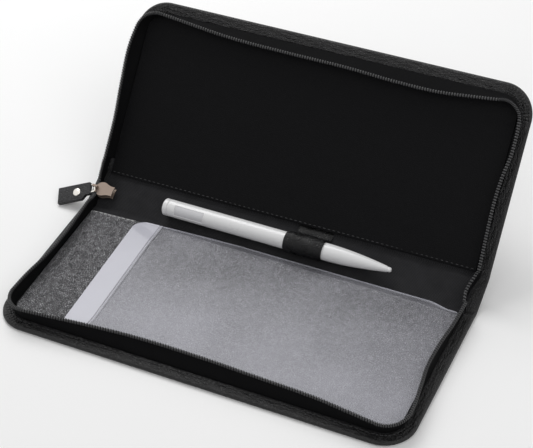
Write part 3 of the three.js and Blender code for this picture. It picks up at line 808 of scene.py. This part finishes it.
def slab(outline, low, top, rounding, relief=None, rings=36):
    """A closed flat pad: rings shrink from the outline to its middle on the top and the underside.

    The edge between the two is a quarter circle above a straight wall. relief is a height to add
    on top, as a function of x and u.
    """
    x, u, nx, nu = outline
    middle_x = (x.min() + x.max()) / 2
    middle_u = (u.min() + u.max()) / 2
    turn = np.linspace(0, math.pi / 2, 6)
    share = np.linspace(0, 1, rings) ** 1.15
    inward = rounding * (1 - np.cos(turn))
    columns_x = [middle_x + 0 * x, x] + [x - nx * k for k in inward]
    columns_u = [middle_u + 0 * x, u] + [u - nu * k for k in inward]
    wall = top - rounding
    heights = [low + 0 * x, low + 0 * x] + [wall + rounding * math.sin(k) + 0 * x for k in turn]
    edge_x, edge_u = columns_x[-1], columns_u[-1]
    for k in share[1:]:
        columns_x.append(edge_x + (middle_x - edge_x) * k)
        columns_u.append(edge_u + (middle_u - edge_u) * k)
        heights.append(top + 0 * x)
    count = len(columns_x)
    x = np.stack(columns_x, 1)
    u = np.stack(columns_u, 1)
    w = np.stack(heights, 1)
    if relief is not None:
        added = relief(x, u)
        w[:, 2:] += added[:, 2:] * np.linspace(0, 1, count - 2)[None, :].clip(0, 0.15) / 0.15
    return x, u, w


def closed_slab(points):
    """Faces of a slab: every ring closes, and its two middles are single points once merged."""
    rows, columns = points.shape[:2]
    return points, grid_faces(rows, columns, closed_rows=True).tolist()


def lining_top(a):
    """The lining lies high over the boards and low on the spine."""
    rise = 1 - ease((a + 1.0) / 2.6) + ease((a - SPINE_WIDTH - 0.2) / 1.6)
    return SPINE_LINING_TOP + (LINING_TOP - SPINE_LINING_TOP) * rise


def spine_lining(low, high):
    """Lining over the spine: a soft sheet whose top waves along x and a, and its flat underside."""
    x = np.linspace(HEM_WIDTH - LINING_LAP, LENGTH - HEM_WIDTH + LINING_LAP, 420)[:, None]
    a = np.linspace(low, high, 48)[None, :]
    edge = np.clip((x - HEM_WIDTH) / 3, 0, 1) * np.clip((LENGTH - HEM_WIDTH - x) / 3, 0, 1)
    within = np.clip(np.minimum(a + 1, SPINE_WIDTH - a) / 3, 0, 1)
    soft = 0.22 * waves(x, 2.0 * a, 3, 9, 0.06, 0.35) + 0.07 * waves(x, a, 8, 7, 0.5, 1.1)
    top = lining_top(a) + edge * within * soft
    under = lining_top(a) - LINING + 0 * x
    x, a = np.broadcast_arrays(x, a)
    return place(np.concatenate([x, x[:, ::-1]], 1), np.concatenate([a, a[:, ::-1]], 1),
                 np.concatenate([top, under[:, ::-1]], 1))


class COVER_OT_linings(bpy.types.Operator):
    """Woven lining of the spine and the two halves, and the stiff boards inside the leather"""

    bl_idname = "cover.linings"
    bl_label = "Linings and boards"

    def execute(self, context):
        middle = SPINE_WIDTH / 2
        inset = HEM_WIDTH - LINING_LAP
        corner = CORNER - inset
        cloth = spine_lining(-LINING_LAP_BASE, middle)
        lower = build("spine_lining_lower", [band(cloth)], LOOKS["lining"], lower_blend(),
                      stands_for=["spine_lining"])
        cloth = spine_lining(middle, SPINE_WIDTH + LINING_LAP_LID)
        upper = build("spine_lining_upper", [band(cloth)], LOOKS["lining"], upper_blend())
        for name, put in HALVES:
            start = LINING_STARTS[name]
            outline = rounded_outline(
                inset, LENGTH - inset, start, HALF_WIDTH - inset, (0.5, 0.5, corner, corner), 2)
            x, u, w = slab(outline, LINING_TOP - LINING, LINING_TOP, 0.1, rings=6)
            lining = build(f"{name}_inner_lining", [closed_slab(put(x, u, w))], LOOKS["lining"], name,
                           stands_for=[f"{name}_lining"])
            board = frame["nodes"][f"{name}_board"]
            board.data.materials.clear()
            board.data.materials.append(LOOKS["board"])
        return {"FINISHED"}


def panel_bow(x, u):
    """The grained panel's free edge bows towards the spine between its two ends."""
    within = np.clip((x - 8) / 25, 0, 1) * np.clip((232 - x) / 25, 0, 1)
    return -1.2 * within * np.clip((22 - u) / 15, 0, 1)


def seam_drift(x, u):
    """The smooth panel's seam comes nearer to the fold towards the slider's end."""
    return -1.5 * np.clip(1 - x / 200, 0, 1) * np.clip((25 - u) / 15, 0, 1)


class COVER_OT_panels(bpy.types.Operator):
    """Pebbled pocket panel of the base and smooth pocket panel of the lid"""

    bl_idname = "cover.panels"
    bl_label = "Pocket panels"

    def execute(self, context):
        corner = CORNER - PANEL_INSET
        right, front = LENGTH - PANEL_INSET, HALF_WIDTH - PANEL_INSET
        radii = (0.8, 0.8, corner, corner)

        def pebbled(x, u):
            return 0.12 * waves(x, u, 21, 6, 0.02, 0.09) + 0.1 * np.exp(-((u - 8.5) / 1.2) ** 2)

        def creased(x, u):
            return 0.3 * waves(x, u, 31, 8, 0.02, 0.07) + 0.05 * waves(x, u, 37, 8, 0.15, 0.4)

        outline = rounded_outline(PANEL_INSET, right, GRAINED_EDGE, front, radii)
        x, u, w = slab(outline, PANEL_LOW, PANEL_TOP, 0.3, pebbled, 50)
        u = u + panel_bow(x, u)
        build("grained_panel", [closed_slab(on_base(x, u, w))], LOOKS["grained"], "base",
              stands_for=["base_pocket_panel"])
        outline = rounded_outline(PANEL_INSET, right, SMOOTH_EDGE, front, radii)
        x, u, w = slab(outline, PANEL_LOW, PANEL_TOP, 0.3, creased, 60)
        u = u + seam_drift(x, u)
        build("smooth_panel", [closed_slab(on_lid(x, u, w))], LOOKS["smooth"], "lid",
              stands_for=["lid_pocket_panel"])
        pitch = context.scene.cover_looks.stitch_pitch
        x = np.arange(11, 36, pitch)
        u = 6.9 + panel_bow(x, 6.9)
        build("grained_edge_stitches", [stitch_row(on_base, x, u, PANEL_TOP + 0.08, 2.3, 0.3)],
              LOOKS["pale thread"], "base")
        x = np.arange(9.5, LENGTH - 9, pitch)
        u = 2.9 + seam_drift(x, 2.9)
        build("smooth_edge_stitches", [stitch_row(on_lid, x, u, PANEL_TOP + 0.02, 1.8, 0.22)],
              LOOKS["thread"], "lid")
        return {"FINISHED"}


# Sleeve


def sleeve_shift(x, u):
    """The sleeve lies a little askew: its left edge drifts in, its weld out, and its opening swells."""
    drift = np.interp(x, [SLEEVE_LEFT, 52, 120], [1.3, -2.5, 0]) * np.clip((u - 8) / 80, 0, 1)
    within = np.clip((x - 40) / 60, 0, 1) * np.clip((225 - x) / 10, 0, 1)
    swell = -2.6 * within * np.clip((30 - u) / 26, 0, 1)
    return x + drift, u + swell


def film(low, top, seed, rings=60):
    """One film of the sleeve: a thin slab that waves gently and curls up along its left margin."""
    outline = rounded_outline(
        SLEEVE_LEFT, SLEEVE_RIGHT, SLEEVE_OPENING, SLEEVE_FRONT, (7, 3, 12.2, 7), 0.8)
    x, u, w = slab(outline, low, top, 0.05, rings=rings)
    wave = 0.14 * waves(x, u, seed, 7, 0.02, 0.08)
    curl = 0.75 * np.exp(-((x - SLEEVE_LEFT) / 4.0) ** 2) * np.clip((u - SLEEVE_OPENING) / 8, 0, 1)
    rise = np.clip(0.2 + wave, 0.02, None) * np.clip((x - 40) / 10, 0, 1) * np.clip((u - 14) / 10, 0, 1)
    rise = rise + curl
    for place_x in SLEEVE_WELDS:
        rise = rise - 0.09 * np.exp(-((x - place_x) / 0.45) ** 2)
    lay = np.stack([x, u, 0 * x], -1) * MM
    x, u = sleeve_shift(x, u)
    return on_base(x, u, w + rise), lay.reshape(-1, 3)


class COVER_OT_sleeve(bpy.types.Operator):
    """Clear frosted sleeve: two welded films that lie on the base's pocket panel"""

    bl_idname = "cover.sleeve"
    bl_label = "Clear sleeve"

    def execute(self, context):
        low, low_lay = film(*LOW_FILM, 41)
        top, top_lay = film(*TOP_FILM, 43)
        build("sleeve_films", [closed_slab(low), closed_slab(top)], LOOKS["film"], "base",
              np.concatenate([low_lay, top_lay]), stands_for=["clear_sleeve"])
        return {"FINISHED"}


# Zip


def tape_section(path, leans):
    """Zip tape as a thin closed section: upright at its foot, then leaning, with a slight ripple."""
    top = lean(path, leans)[:, None]
    w = np.concatenate([[TAPE_FOOT, TAPE_BEND - 0.6], np.linspace(TAPE_BEND, TAPE_TOP, 12)])
    climb = np.clip((w - TAPE_BEND) / (TAPE_TOP - TAPE_BEND), 0, 1)[None, :]
    along = path.arc[:, None]
    ripple = 0.16 * waves(along, 0 * along, 51, 8, 0.1, 0.5) * np.sin(math.pi * climb)
    inset = TAPE_INSET + top * climb ** 1.15 + ripple
    inset = np.concatenate([inset, inset[:, ::-1] + TAPE], 1)
    w = np.concatenate([w, w[::-1]])[None, :] + 0 * inset
    return inset, w


def coil_rings(pitch, run):
    """Stations along a coil, eight to a tooth, and how full the tooth is at each of them."""
    teeth = max(1, int(run / pitch))
    phase = np.linspace(0, teeth, teeth * 8 + 1)
    return phase / teeth, 0.3 + 0.7 * np.abs(np.sin(math.pi * phase)) ** 0.8


def coil_oval():
    """The coil's section at a tooth: a superellipse, as distances across and up."""
    turn = np.linspace(0, 2 * math.pi, 15)[:-1]
    across = np.sign(np.cos(turn)) * np.abs(np.cos(turn)) ** 0.75
    up = np.sign(np.sin(turn)) * np.abs(np.sin(turn)) ** 0.75
    return across * COIL_HALF_WIDTH, up * COIL_HALF_HEIGHT


def coil_section(path, leans, fullness):
    """Coil as a ribbed tube round the tape's edge, fuller at each tooth."""
    across, up = coil_oval()
    centre = TAPE_INSET + TAPE / 2 + lean(path, leans)
    inset = centre[:, None] + fullness[:, None] * across
    return inset, COIL_MIDDLE + fullness[:, None] * up


def fullness_lay(fullness, like):
    """The fullness of the coil as a pattern coordinate, for every point of a grid."""
    full = fullness[:, None] + 0 * like
    return np.stack([full, 0 * full, 0 * full], -1)


def along_rim(path, inset, w, put):
    """Points of a section carried round a half's outline."""
    x = path.x[:, None] + path.nx[:, None] * inset
    u = path.u[:, None] + path.nu[:, None] * inset
    return put(x, u, w)


def lead_path(stations, share):
    """The soft end of a zip: a smooth curve through flat places (x, a, w), and its way on."""
    marks = np.linspace(0, 1, len(stations))
    columns = np.array(stations, float).T
    path = np.stack([smooth_through(share, np.stack([marks, column], 1)) for column in columns])
    way = np.gradient(path, axis=1)
    return path, way / np.linalg.norm(way, axis=0)


def lead_tape(stations, bend):
    """Tape under a soft end: a thin wall from the coil down to the lining, given a slight ripple."""
    share = np.linspace(0, 1, 60)
    (x, a, top), _ = lead_path(stations, share)
    climb = np.linspace(0, 1, 9)[None, :]
    foot = lining_top(a)[:, None] + 0.05
    top = top[:, None] - COIL_HALF_HEIGHT
    w = foot + (np.maximum(top, foot + 0.3) - foot) * climb
    ripple = 0.15 * np.sin(math.pi * climb) * np.sin(9 * share)[:, None]
    x = x[:, None] + ripple
    side = np.concatenate([x - TAPE / 2, (x + TAPE / 2)[:, ::-1]], 1)
    w = np.concatenate([w, w[:, ::-1]], 1)
    a = a[:, None] + 0 * side
    lay = np.stack([a, w, 0 * w], -1) * MM
    return place(side, a, w, bend), lay


def lead_coil(stations, bend, pitch):
    """Coil along a soft end: a ribbed tube whose section stands square to the curve."""
    marks = np.array(stations, float)
    run = np.linalg.norm(np.diff(marks, axis=0), axis=1).sum()
    share, fullness = coil_rings(pitch, run)
    (x, a, w), (_, way_a, way_w) = lead_path(stations, share)
    sign = np.sign(way_a)
    level = np.hypot(way_a, way_w)
    up_a, up_w = -way_w * sign / level, way_a * sign / level
    across, rise = coil_oval()
    full = fullness[:, None]
    points = place(x[:, None] + across * full, a[:, None] + up_a[:, None] * rise * full,
                   w[:, None] + up_w[:, None] * rise * full, bend)
    return points, fullness_lay(fullness, points[..., 0])


class COVER_OT_zip(bpy.types.Operator):
    """Zip tapes and toothed coils that stand round three sides of each half"""

    bl_idname = "cover.zip"
    bl_label = "Zip"

    def execute(self, context):
        pitch = context.scene.cover_looks.tooth_pitch
        for (name, put), leans in zip(HALVES, (BASE_LEANS, LID_LEANS)):
            path = rim(ZIP_START, ZIP_END, 420)
            inset, w = tape_section(path, leans)
            lay = np.stack([path.arc[:, None] + 0 * w, w, 0 * w], -1) * MM
            build(f"{name}_tape", [band(along_rim(path, inset, w, put))], LOOKS["tape"], name, lay,
                  stands_for=[f"{name}_zip_tape"])
            share, fullness = coil_rings(pitch, path.arc[-1])
            path = rim(ZIP_START, ZIP_END, len(share))
            inset, w = coil_section(path, leans, fullness)
            build(f"{name}_coil", [band(along_rim(path, inset, w, put))], LOOKS["coil"], name,
                  fullness_lay(fullness, inset), stands_for=[f"{name}_zip_coil"], sharp=70)
        near, far = SPINE_WIDTH + ZIP_START, SPINE_WIDTH + ZIP_END
        left, right = TAPE_INSET + TAPE / 2, LENGTH - TAPE_INSET - TAPE / 2
        leads = (
            ("base_slider_lead", 7, lower_blend, ["left_tape_end"],
             ((left + 0.1, -ZIP_START, COIL_MIDDLE), (6.9, -4.5, 10.9), (6.5, 0.5, 9.6), (5.8, 5, 7.2),
              (5.4, 8.4, 5.2))),
            ("lid_slider_lead", 7, upper_blend, [],
             ((left - 2, near, COIL_MIDDLE), (4.4, near - 5.5, 11), (4.1, near - 11, 9.8),
              (4.3, near - 16, 7.8), (5.6, near - 21, 5.6))),
            ("base_end_lead", 3, lower_blend, ["right_tape_end"],
             ((right + 1.5, -ZIP_END, COIL_MIDDLE), (233.9, 0, 10.4), (232.8, 4, 8.9), (231.8, 8.4, 8.2))),
            ("lid_end_lead", 3, upper_blend, [],
             ((right + 2, far, COIL_MIDDLE), (234.6, far - 4.5, 10.4), (233.4, far - 8.5, 9.2),
              (232.2, far - 13, 8.5), (231.8, 8.2, 8.2))),
        )
        for name, bend, blend, nodes, stations in leads:
            tape, lay = lead_tape(stations, bend)
            build(name, [band(tape)], LOOKS["tape"], blend(bend), lay, stands_for=nodes)
            coil, lay = lead_coil(stations, bend, pitch)
            build(f"{name}_coil", [band(coil)], LOOKS["coil"], blend(bend), lay, sharp=70)
        return {"FINISHED"}


# Pen and loop


def turned_surface(radius, x0, x1, rows=80, columns=96):
    """A surface of revolution about the pen's axis: radius is a function of x and the angle."""
    x = np.linspace(x0, x1, rows)[:, None]
    turn = np.linspace(0, 2 * math.pi, columns + 1)[None, :-1]
    r = radius(x, turn)
    x = x + 0 * turn
    return place(x + PEN_START, PEN_PLACE + r * np.cos(turn), PEN_HEIGHT + r * np.sin(turn))


def barrel_radius(x, turn):
    """Full radius along the body, then a nose that narrows by a power of the way to the tip.

    The plate lies in a shallow seat: the radius drops a little within its outline.
    """
    nose = np.clip((x - NOSE_START) / NOSE_LENGTH, 0, 1)
    along = np.clip((np.abs(x - PLATE_MIDDLE) - PLATE_LENGTH / 2) / 0.15, 0, 1)
    around = np.clip((np.abs(turn - PLATE_TURN) * PEN_RADIUS - PLATE_WIDTH / 2) / 0.15, 0, 1)
    seat = 0.35 * (1 - np.maximum(along, around))
    edge = 0.25 * (1 - np.clip((x - BARREL_START) / 0.3, 0, 1)) ** 2
    return PEN_RADIUS - 3.25 * nose ** 1.8 - seat - edge


def cap_radius(x, turn):
    """A flat end whose edge is a quarter circle of 1 mm, a straight cap and a fine groove."""
    edge = 1 - np.sqrt(1 - np.clip(1 - x, 0, 1) ** 2)
    groove = 0.3 * np.clip((x - 2.8) / 0.2, 0, 1)
    return PEN_RADIUS - edge - groove + 0 * turn


def point_radius(x, turn):
    """A short blunt point that narrows in a quarter circle."""
    t = np.clip((x - PEN_LENGTH + 1.4) / 1.4, 0, 1)
    return 0.5 + 0.95 * np.sqrt(1 - t * t) + 0 * turn


def plate_surface():
    """The plate: part of a ring round the pen's axis, a hair below the barrel's surface."""
    half = (PLATE_WIDTH / 2 - PLATE_GAP) / PEN_RADIUS
    turn = PLATE_TURN + half * np.concatenate([np.linspace(-1, 1, 15), np.linspace(1, -1, 15)])
    radius = np.concatenate([np.full(15, PEN_RADIUS - 0.06), np.full(15, PEN_RADIUS - 0.45)])
    reach = PLATE_LENGTH / 2 - PLATE_GAP
    x = PLATE_MIDDLE + np.linspace(-reach, reach, 12)[:, None]
    return place(PEN_START + x, PEN_PLACE + radius * np.cos(turn), PEN_HEIGHT + radius * np.sin(turn))


class COVER_OT_pen(bpy.types.Operator):
    """White pen: end cap, barrel with its flush plate, tapered nose and tip"""

    bl_idname = "cover.pen"
    bl_label = "Pen"

    def execute(self, context):
        parts = (("pen_body", barrel_radius, BARREL_START, BARREL_END, 400, 160, "pen_barrel"),
                 ("pen_cap", cap_radius, 0, CAP_END, 40, 96, "pen_end_cap"),
                 ("pen_point", point_radius, BARREL_END - 0.1, PEN_LENGTH, 30, 48, "pen_tip"))
        for name, radius, x0, x1, rows, columns, node in parts:
            build(name, [band(turned_surface(radius, x0, x1, rows, columns))], LOOKS["pen"], "spine",
                  stands_for=[node])
        build("pen_plate", [band(plate_surface())], LOOKS["plate"], "spine",
              stands_for=["pen_inset_plate"])
        return {"FINISHED"}


def loop_course():
    """The loop's middle line in the plane across the pen, in flat places (a, w).

    It starts under the pen, goes round it on the base's side and over it, and leaves it on the lid's
    side for a tab that lies on the lining up to the lid's seam.
    """
    turn = np.linspace(-math.pi / 2, -2 * math.pi - 0.1, 70)
    radius = LOOP_RADIUS - LOOP_LEATHER / 2
    a, w = PEN_PLACE + radius * np.cos(turn), PEN_HEIGHT + radius * np.sin(turn)
    t = np.linspace(0, 1, 40)[1:]
    tab_a = a[-1] + (SPINE_WIDTH + 1.0 - a[-1]) * t
    low = lining_top(tab_a) + LOOP_LEATHER / 2 + 0.08
    tab_w = low + (w[-1] - low[0]) * (1 - t) ** 5
    return np.concatenate([a, tab_a]), np.concatenate([w, tab_w])


def loop_band():
    """The loop as a thick strip: its middle line offset both ways, thinned to round edges across x."""
    a, w = loop_course()
    way_a, way_w = np.gradient(a), np.gradient(w)
    size = np.hypot(way_a, way_w)
    out_a, out_w = -way_w / size, way_a / size
    across = np.sin(np.linspace(-math.pi / 2, math.pi / 2, 31))[:, None]
    half = (LOOP_LEATHER / 2 + 0.05) * np.sqrt(np.clip(1 - across ** 8, 0.02, 1))
    tab = ease((a - 14.5) / 1.5)[None, :]
    middle = LOOP_START + LOOP_WIDTH / 2 + 0.9 * tab
    reach = LOOP_WIDTH / 2 - 1.0 * tab
    crease = 0.1 * np.sin(0.9 * a[None, :] + 5 * across) * (1 - across ** 2)
    x = middle + reach * across
    upper_a, upper_w = a + out_a * (half + crease), w + out_w * (half + crease)
    lower_a, lower_w = a - out_a * half, w - out_w * half
    return place(np.concatenate([x, x[:, ::-1]], 1), np.concatenate([upper_a, lower_a[:, ::-1]], 1),
                 np.concatenate([upper_w, lower_w[:, ::-1]], 1))


class COVER_OT_loop(bpy.types.Operator):
    """Leather pen loop with its sewn tab"""

    bl_idname = "cover.loop"
    bl_label = "Pen loop"

    def execute(self, context):
        build("loop_strip", [band(loop_band())], LOOKS["loop"], upper_blend(),
              stands_for=["pen_loop"])
        return {"FINISHED"}


# Pull


def on_tab(x, y, z):
    """A point of the pull tab: x from its pivot along the tab, y across it and z out of its face."""
    pivot = np.array(JOINTS["tab_swing"]["pos_m"])
    along = pivot - np.array(JOINTS["link_swing"]["pos_m"])
    along = along / np.linalg.norm(along)
    across = -np.array(JOINTS["tab_swing"]["axis"])
    out = np.cross(along, across)
    parts = np.broadcast_arrays(x, y, z)
    ways = [part[..., None] * way for part, way in zip(parts, (along, across, out))]
    return pivot + (sum(ways) + np.array(TAB_SHIFT)) * MM


def tab_pad():
    """Leather tab: a rounded pad with a pressed line along its edges, that sags to its far end.

    Next to the link one half narrows by half, towards the base, so that it clears the base's hem.
    """
    radii = (0.9, 0.6, 0.6, 0.9)
    outline = rounded_outline(TAB_START, TAB_END, -TAB_HALF_WIDTH, TAB_HALF_WIDTH, radii, 0.4)
    x, y, z = slab(outline, -TAB_HALF_THICKNESS, TAB_HALF_THICKNESS, 0.45, rings=24)
    y = np.where(y > 0, y * (0.5 + 0.5 * ease((x - 1.8) / 1.6)), y)
    press = 0.12 * np.exp(-((TAB_HALF_WIDTH - np.abs(y) - 1.1) / 0.25) ** 2) * (z > 0)
    sag = -0.25 * ((x - TAB_START) / (TAB_END - TAB_START)) ** 2
    return on_tab(x, y, z + sag - press)


def rivet_dome(radius, height, seat):
    """A rivet's head on the tab: rings whose height is a root of 1 - t squared, over a low rim."""
    t = np.linspace(1, 0, 12)
    rim_height = 0.15 * np.sign(height)
    rings = np.concatenate([[0, 1, 1], t])
    dome = seat + rim_height + height * np.sqrt(1 - t * t)
    levels = np.concatenate([[seat, seat, seat + rim_height], dome])
    turn = np.linspace(0, 2 * math.pi, 41)[:-1, None]
    x = RIVET_PLACE + radius * rings * np.cos(turn)
    y = radius * rings * np.sin(turn)
    return on_tab(x, y, levels + 0 * x), grid_faces(len(turn), len(rings), closed_rows=True).tolist()


class COVER_OT_pull(bpy.types.Operator):
    """Slider, wire link, leather tab and rivet"""

    bl_idname = "cover.pull"
    bl_label = "Slider and pull"

    def execute(self, context):
        soft_edges("slider", "slider_body", 0.22, LOOKS["nickel"], "spine")
        soft_edges("wire_link", "pull_link", 0.24, LOOKS["silver"], "pull",
                   [v * 0.5 for v in TAB_SHIFT])
        build("leather_tab", [closed_slab(tab_pad())], LOOKS["tab"], "tab",
              stands_for=["pull_tab"])
        build("rivet_head", [rivet_dome(RIVET_RADIUS, 0.9, 1.0)], LOOKS["silver"], "tab",
              stands_for=["tab_rivet"])
        build("rivet_back_head", [rivet_dome(RIVET_BACK_RADIUS, -0.5, -1.0)], LOOKS["silver"], "tab",
              stands_for=["tab_rivet_back"])
        return {"FINISHED"}


# Stage


class COVER_OT_stage(bpy.types.Operator):
    """Pale floor, soft studio light and the camera"""

    bl_idname = "cover.stage"
    bl_label = "Stage"

    def execute(self, context):
        scene = context.scene
        scene.view_settings.view_transform = "Standard"
        data = bpy.data.meshes.new("floor")
        corners = [(x * FLOOR_HALF, y * FLOOR_HALF, 0) for x, y in ((-1, -1), (1, -1), (1, 1), (-1, 1))]
        data.from_pydata(corners, [], [(0, 1, 2, 3)])
        look = Look("floor", (0.97, 0.97, 0.97), 0.9, specular_ior_level=0.2)
        floor = bpy.data.objects.new("floor", data)
        data.materials.append(look.material)
        scene.collection.objects.link(floor)
        self.white_backdrop(scene)
        self.lamp(scene, "key", (-0.5, 0.55, 0.9), 0.7, 7)
        self.lamp(scene, "fill", (0.7, -0.5, 0.9), 0.9, 3)
        self.camera(scene)
        return {"FINISHED"}

    def lamp(self, scene, name, where, size, power):
        """A square lamp of a size in metres and a power in watts, turned to the cover."""
        data = bpy.data.lights.new(name, "AREA")
        data.size = size
        data.energy = power
        lamp = bpy.data.objects.new(name, data)
        lamp.location = where
        lamp.rotation_euler = (Vector((0, 0, 0.03)) - lamp.location).to_track_quat("-Z", "Y").to_euler()
        scene.collection.objects.link(lamp)

    def white_backdrop(self, scene):
        """A world that lights evenly, and that the camera and gloss see as white."""
        world = bpy.data.worlds.new("studio")
        world.use_nodes = True
        scene.world = world
        tree = world.node_tree
        back = tree.nodes["Background"]
        back.inputs["Color"].default_value = (1, 1, 1, 1)
        path = tree.nodes.new("ShaderNodeLightPath")
        seen = path.outputs["Is Camera Ray"]
        for kind in ("Is Glossy Ray", "Is Transmission Ray"):
            either = tree.nodes.new("ShaderNodeMath")
            either.operation = "MAXIMUM"
            tree.links.new(seen, either.inputs[0])
            tree.links.new(path.outputs[kind], either.inputs[1])
            seen = either.outputs[0]
        strength = tree.nodes.new("ShaderNodeMapRange")
        strength.inputs["To Min"].default_value = 0.45
        strength.inputs["To Max"].default_value = 1.0
        tree.links.new(seen, strength.inputs["Value"])
        tree.links.new(strength.outputs[0], back.inputs["Strength"])

    def camera(self, scene):
        """The camera, fitted to the cover's straight edges and its zip's teeth."""
        data = bpy.data.cameras.new("camera")
        data.sensor_width = 36
        data.lens = CAMERA_LENS
        camera = bpy.data.objects.new("camera", data)
        camera.location = CAMERA_PLACE
        camera.rotation_euler = [math.radians(v) for v in CAMERA_TURN]
        scene.collection.objects.link(camera)
        scene.camera = camera


class COVER_PT_panel(bpy.types.Panel):
    """The cover's pieces, in the 3D view's sidebar"""

    bl_idname = "COVER_PT_panel"
    bl_label = "Chequebook cover"
    bl_space_type = "VIEW_3D"
    bl_region_type = "UI"
    bl_category = "Cover"

    def draw(self, context):
        settings = context.scene.cover_looks
        for name in settings.__annotations__:
            self.layout.prop(settings, name)
        for operator in PIECES:
            self.layout.operator(operator.bl_idname)


PIECES = (COVER_OT_leather, COVER_OT_linings, COVER_OT_panels, COVER_OT_sleeve, COVER_OT_zip, COVER_OT_pen,
          COVER_OT_loop, COVER_OT_pull, COVER_OT_stage)


def register():
    for part in (CoverLooks, *PIECES, COVER_PT_panel):
        bpy.utils.register_class(part)
    bpy.types.Scene.cover_looks = bpy.props.PointerProperty(type=CoverLooks)


def unregister():
    del bpy.types.Scene.cover_looks
    for part in reversed((CoverLooks, *PIECES, COVER_PT_panel)):
        bpy.utils.unregister_class(part)


def main():
    """Builds every piece in order."""
    register()
    make_looks(bpy.context.scene.cover_looks)
    for operator in PIECES:
        group, name = operator.bl_idname.split(".")
        getattr(getattr(bpy.ops, group), name)()


if __name__ == "__main__":
    main()
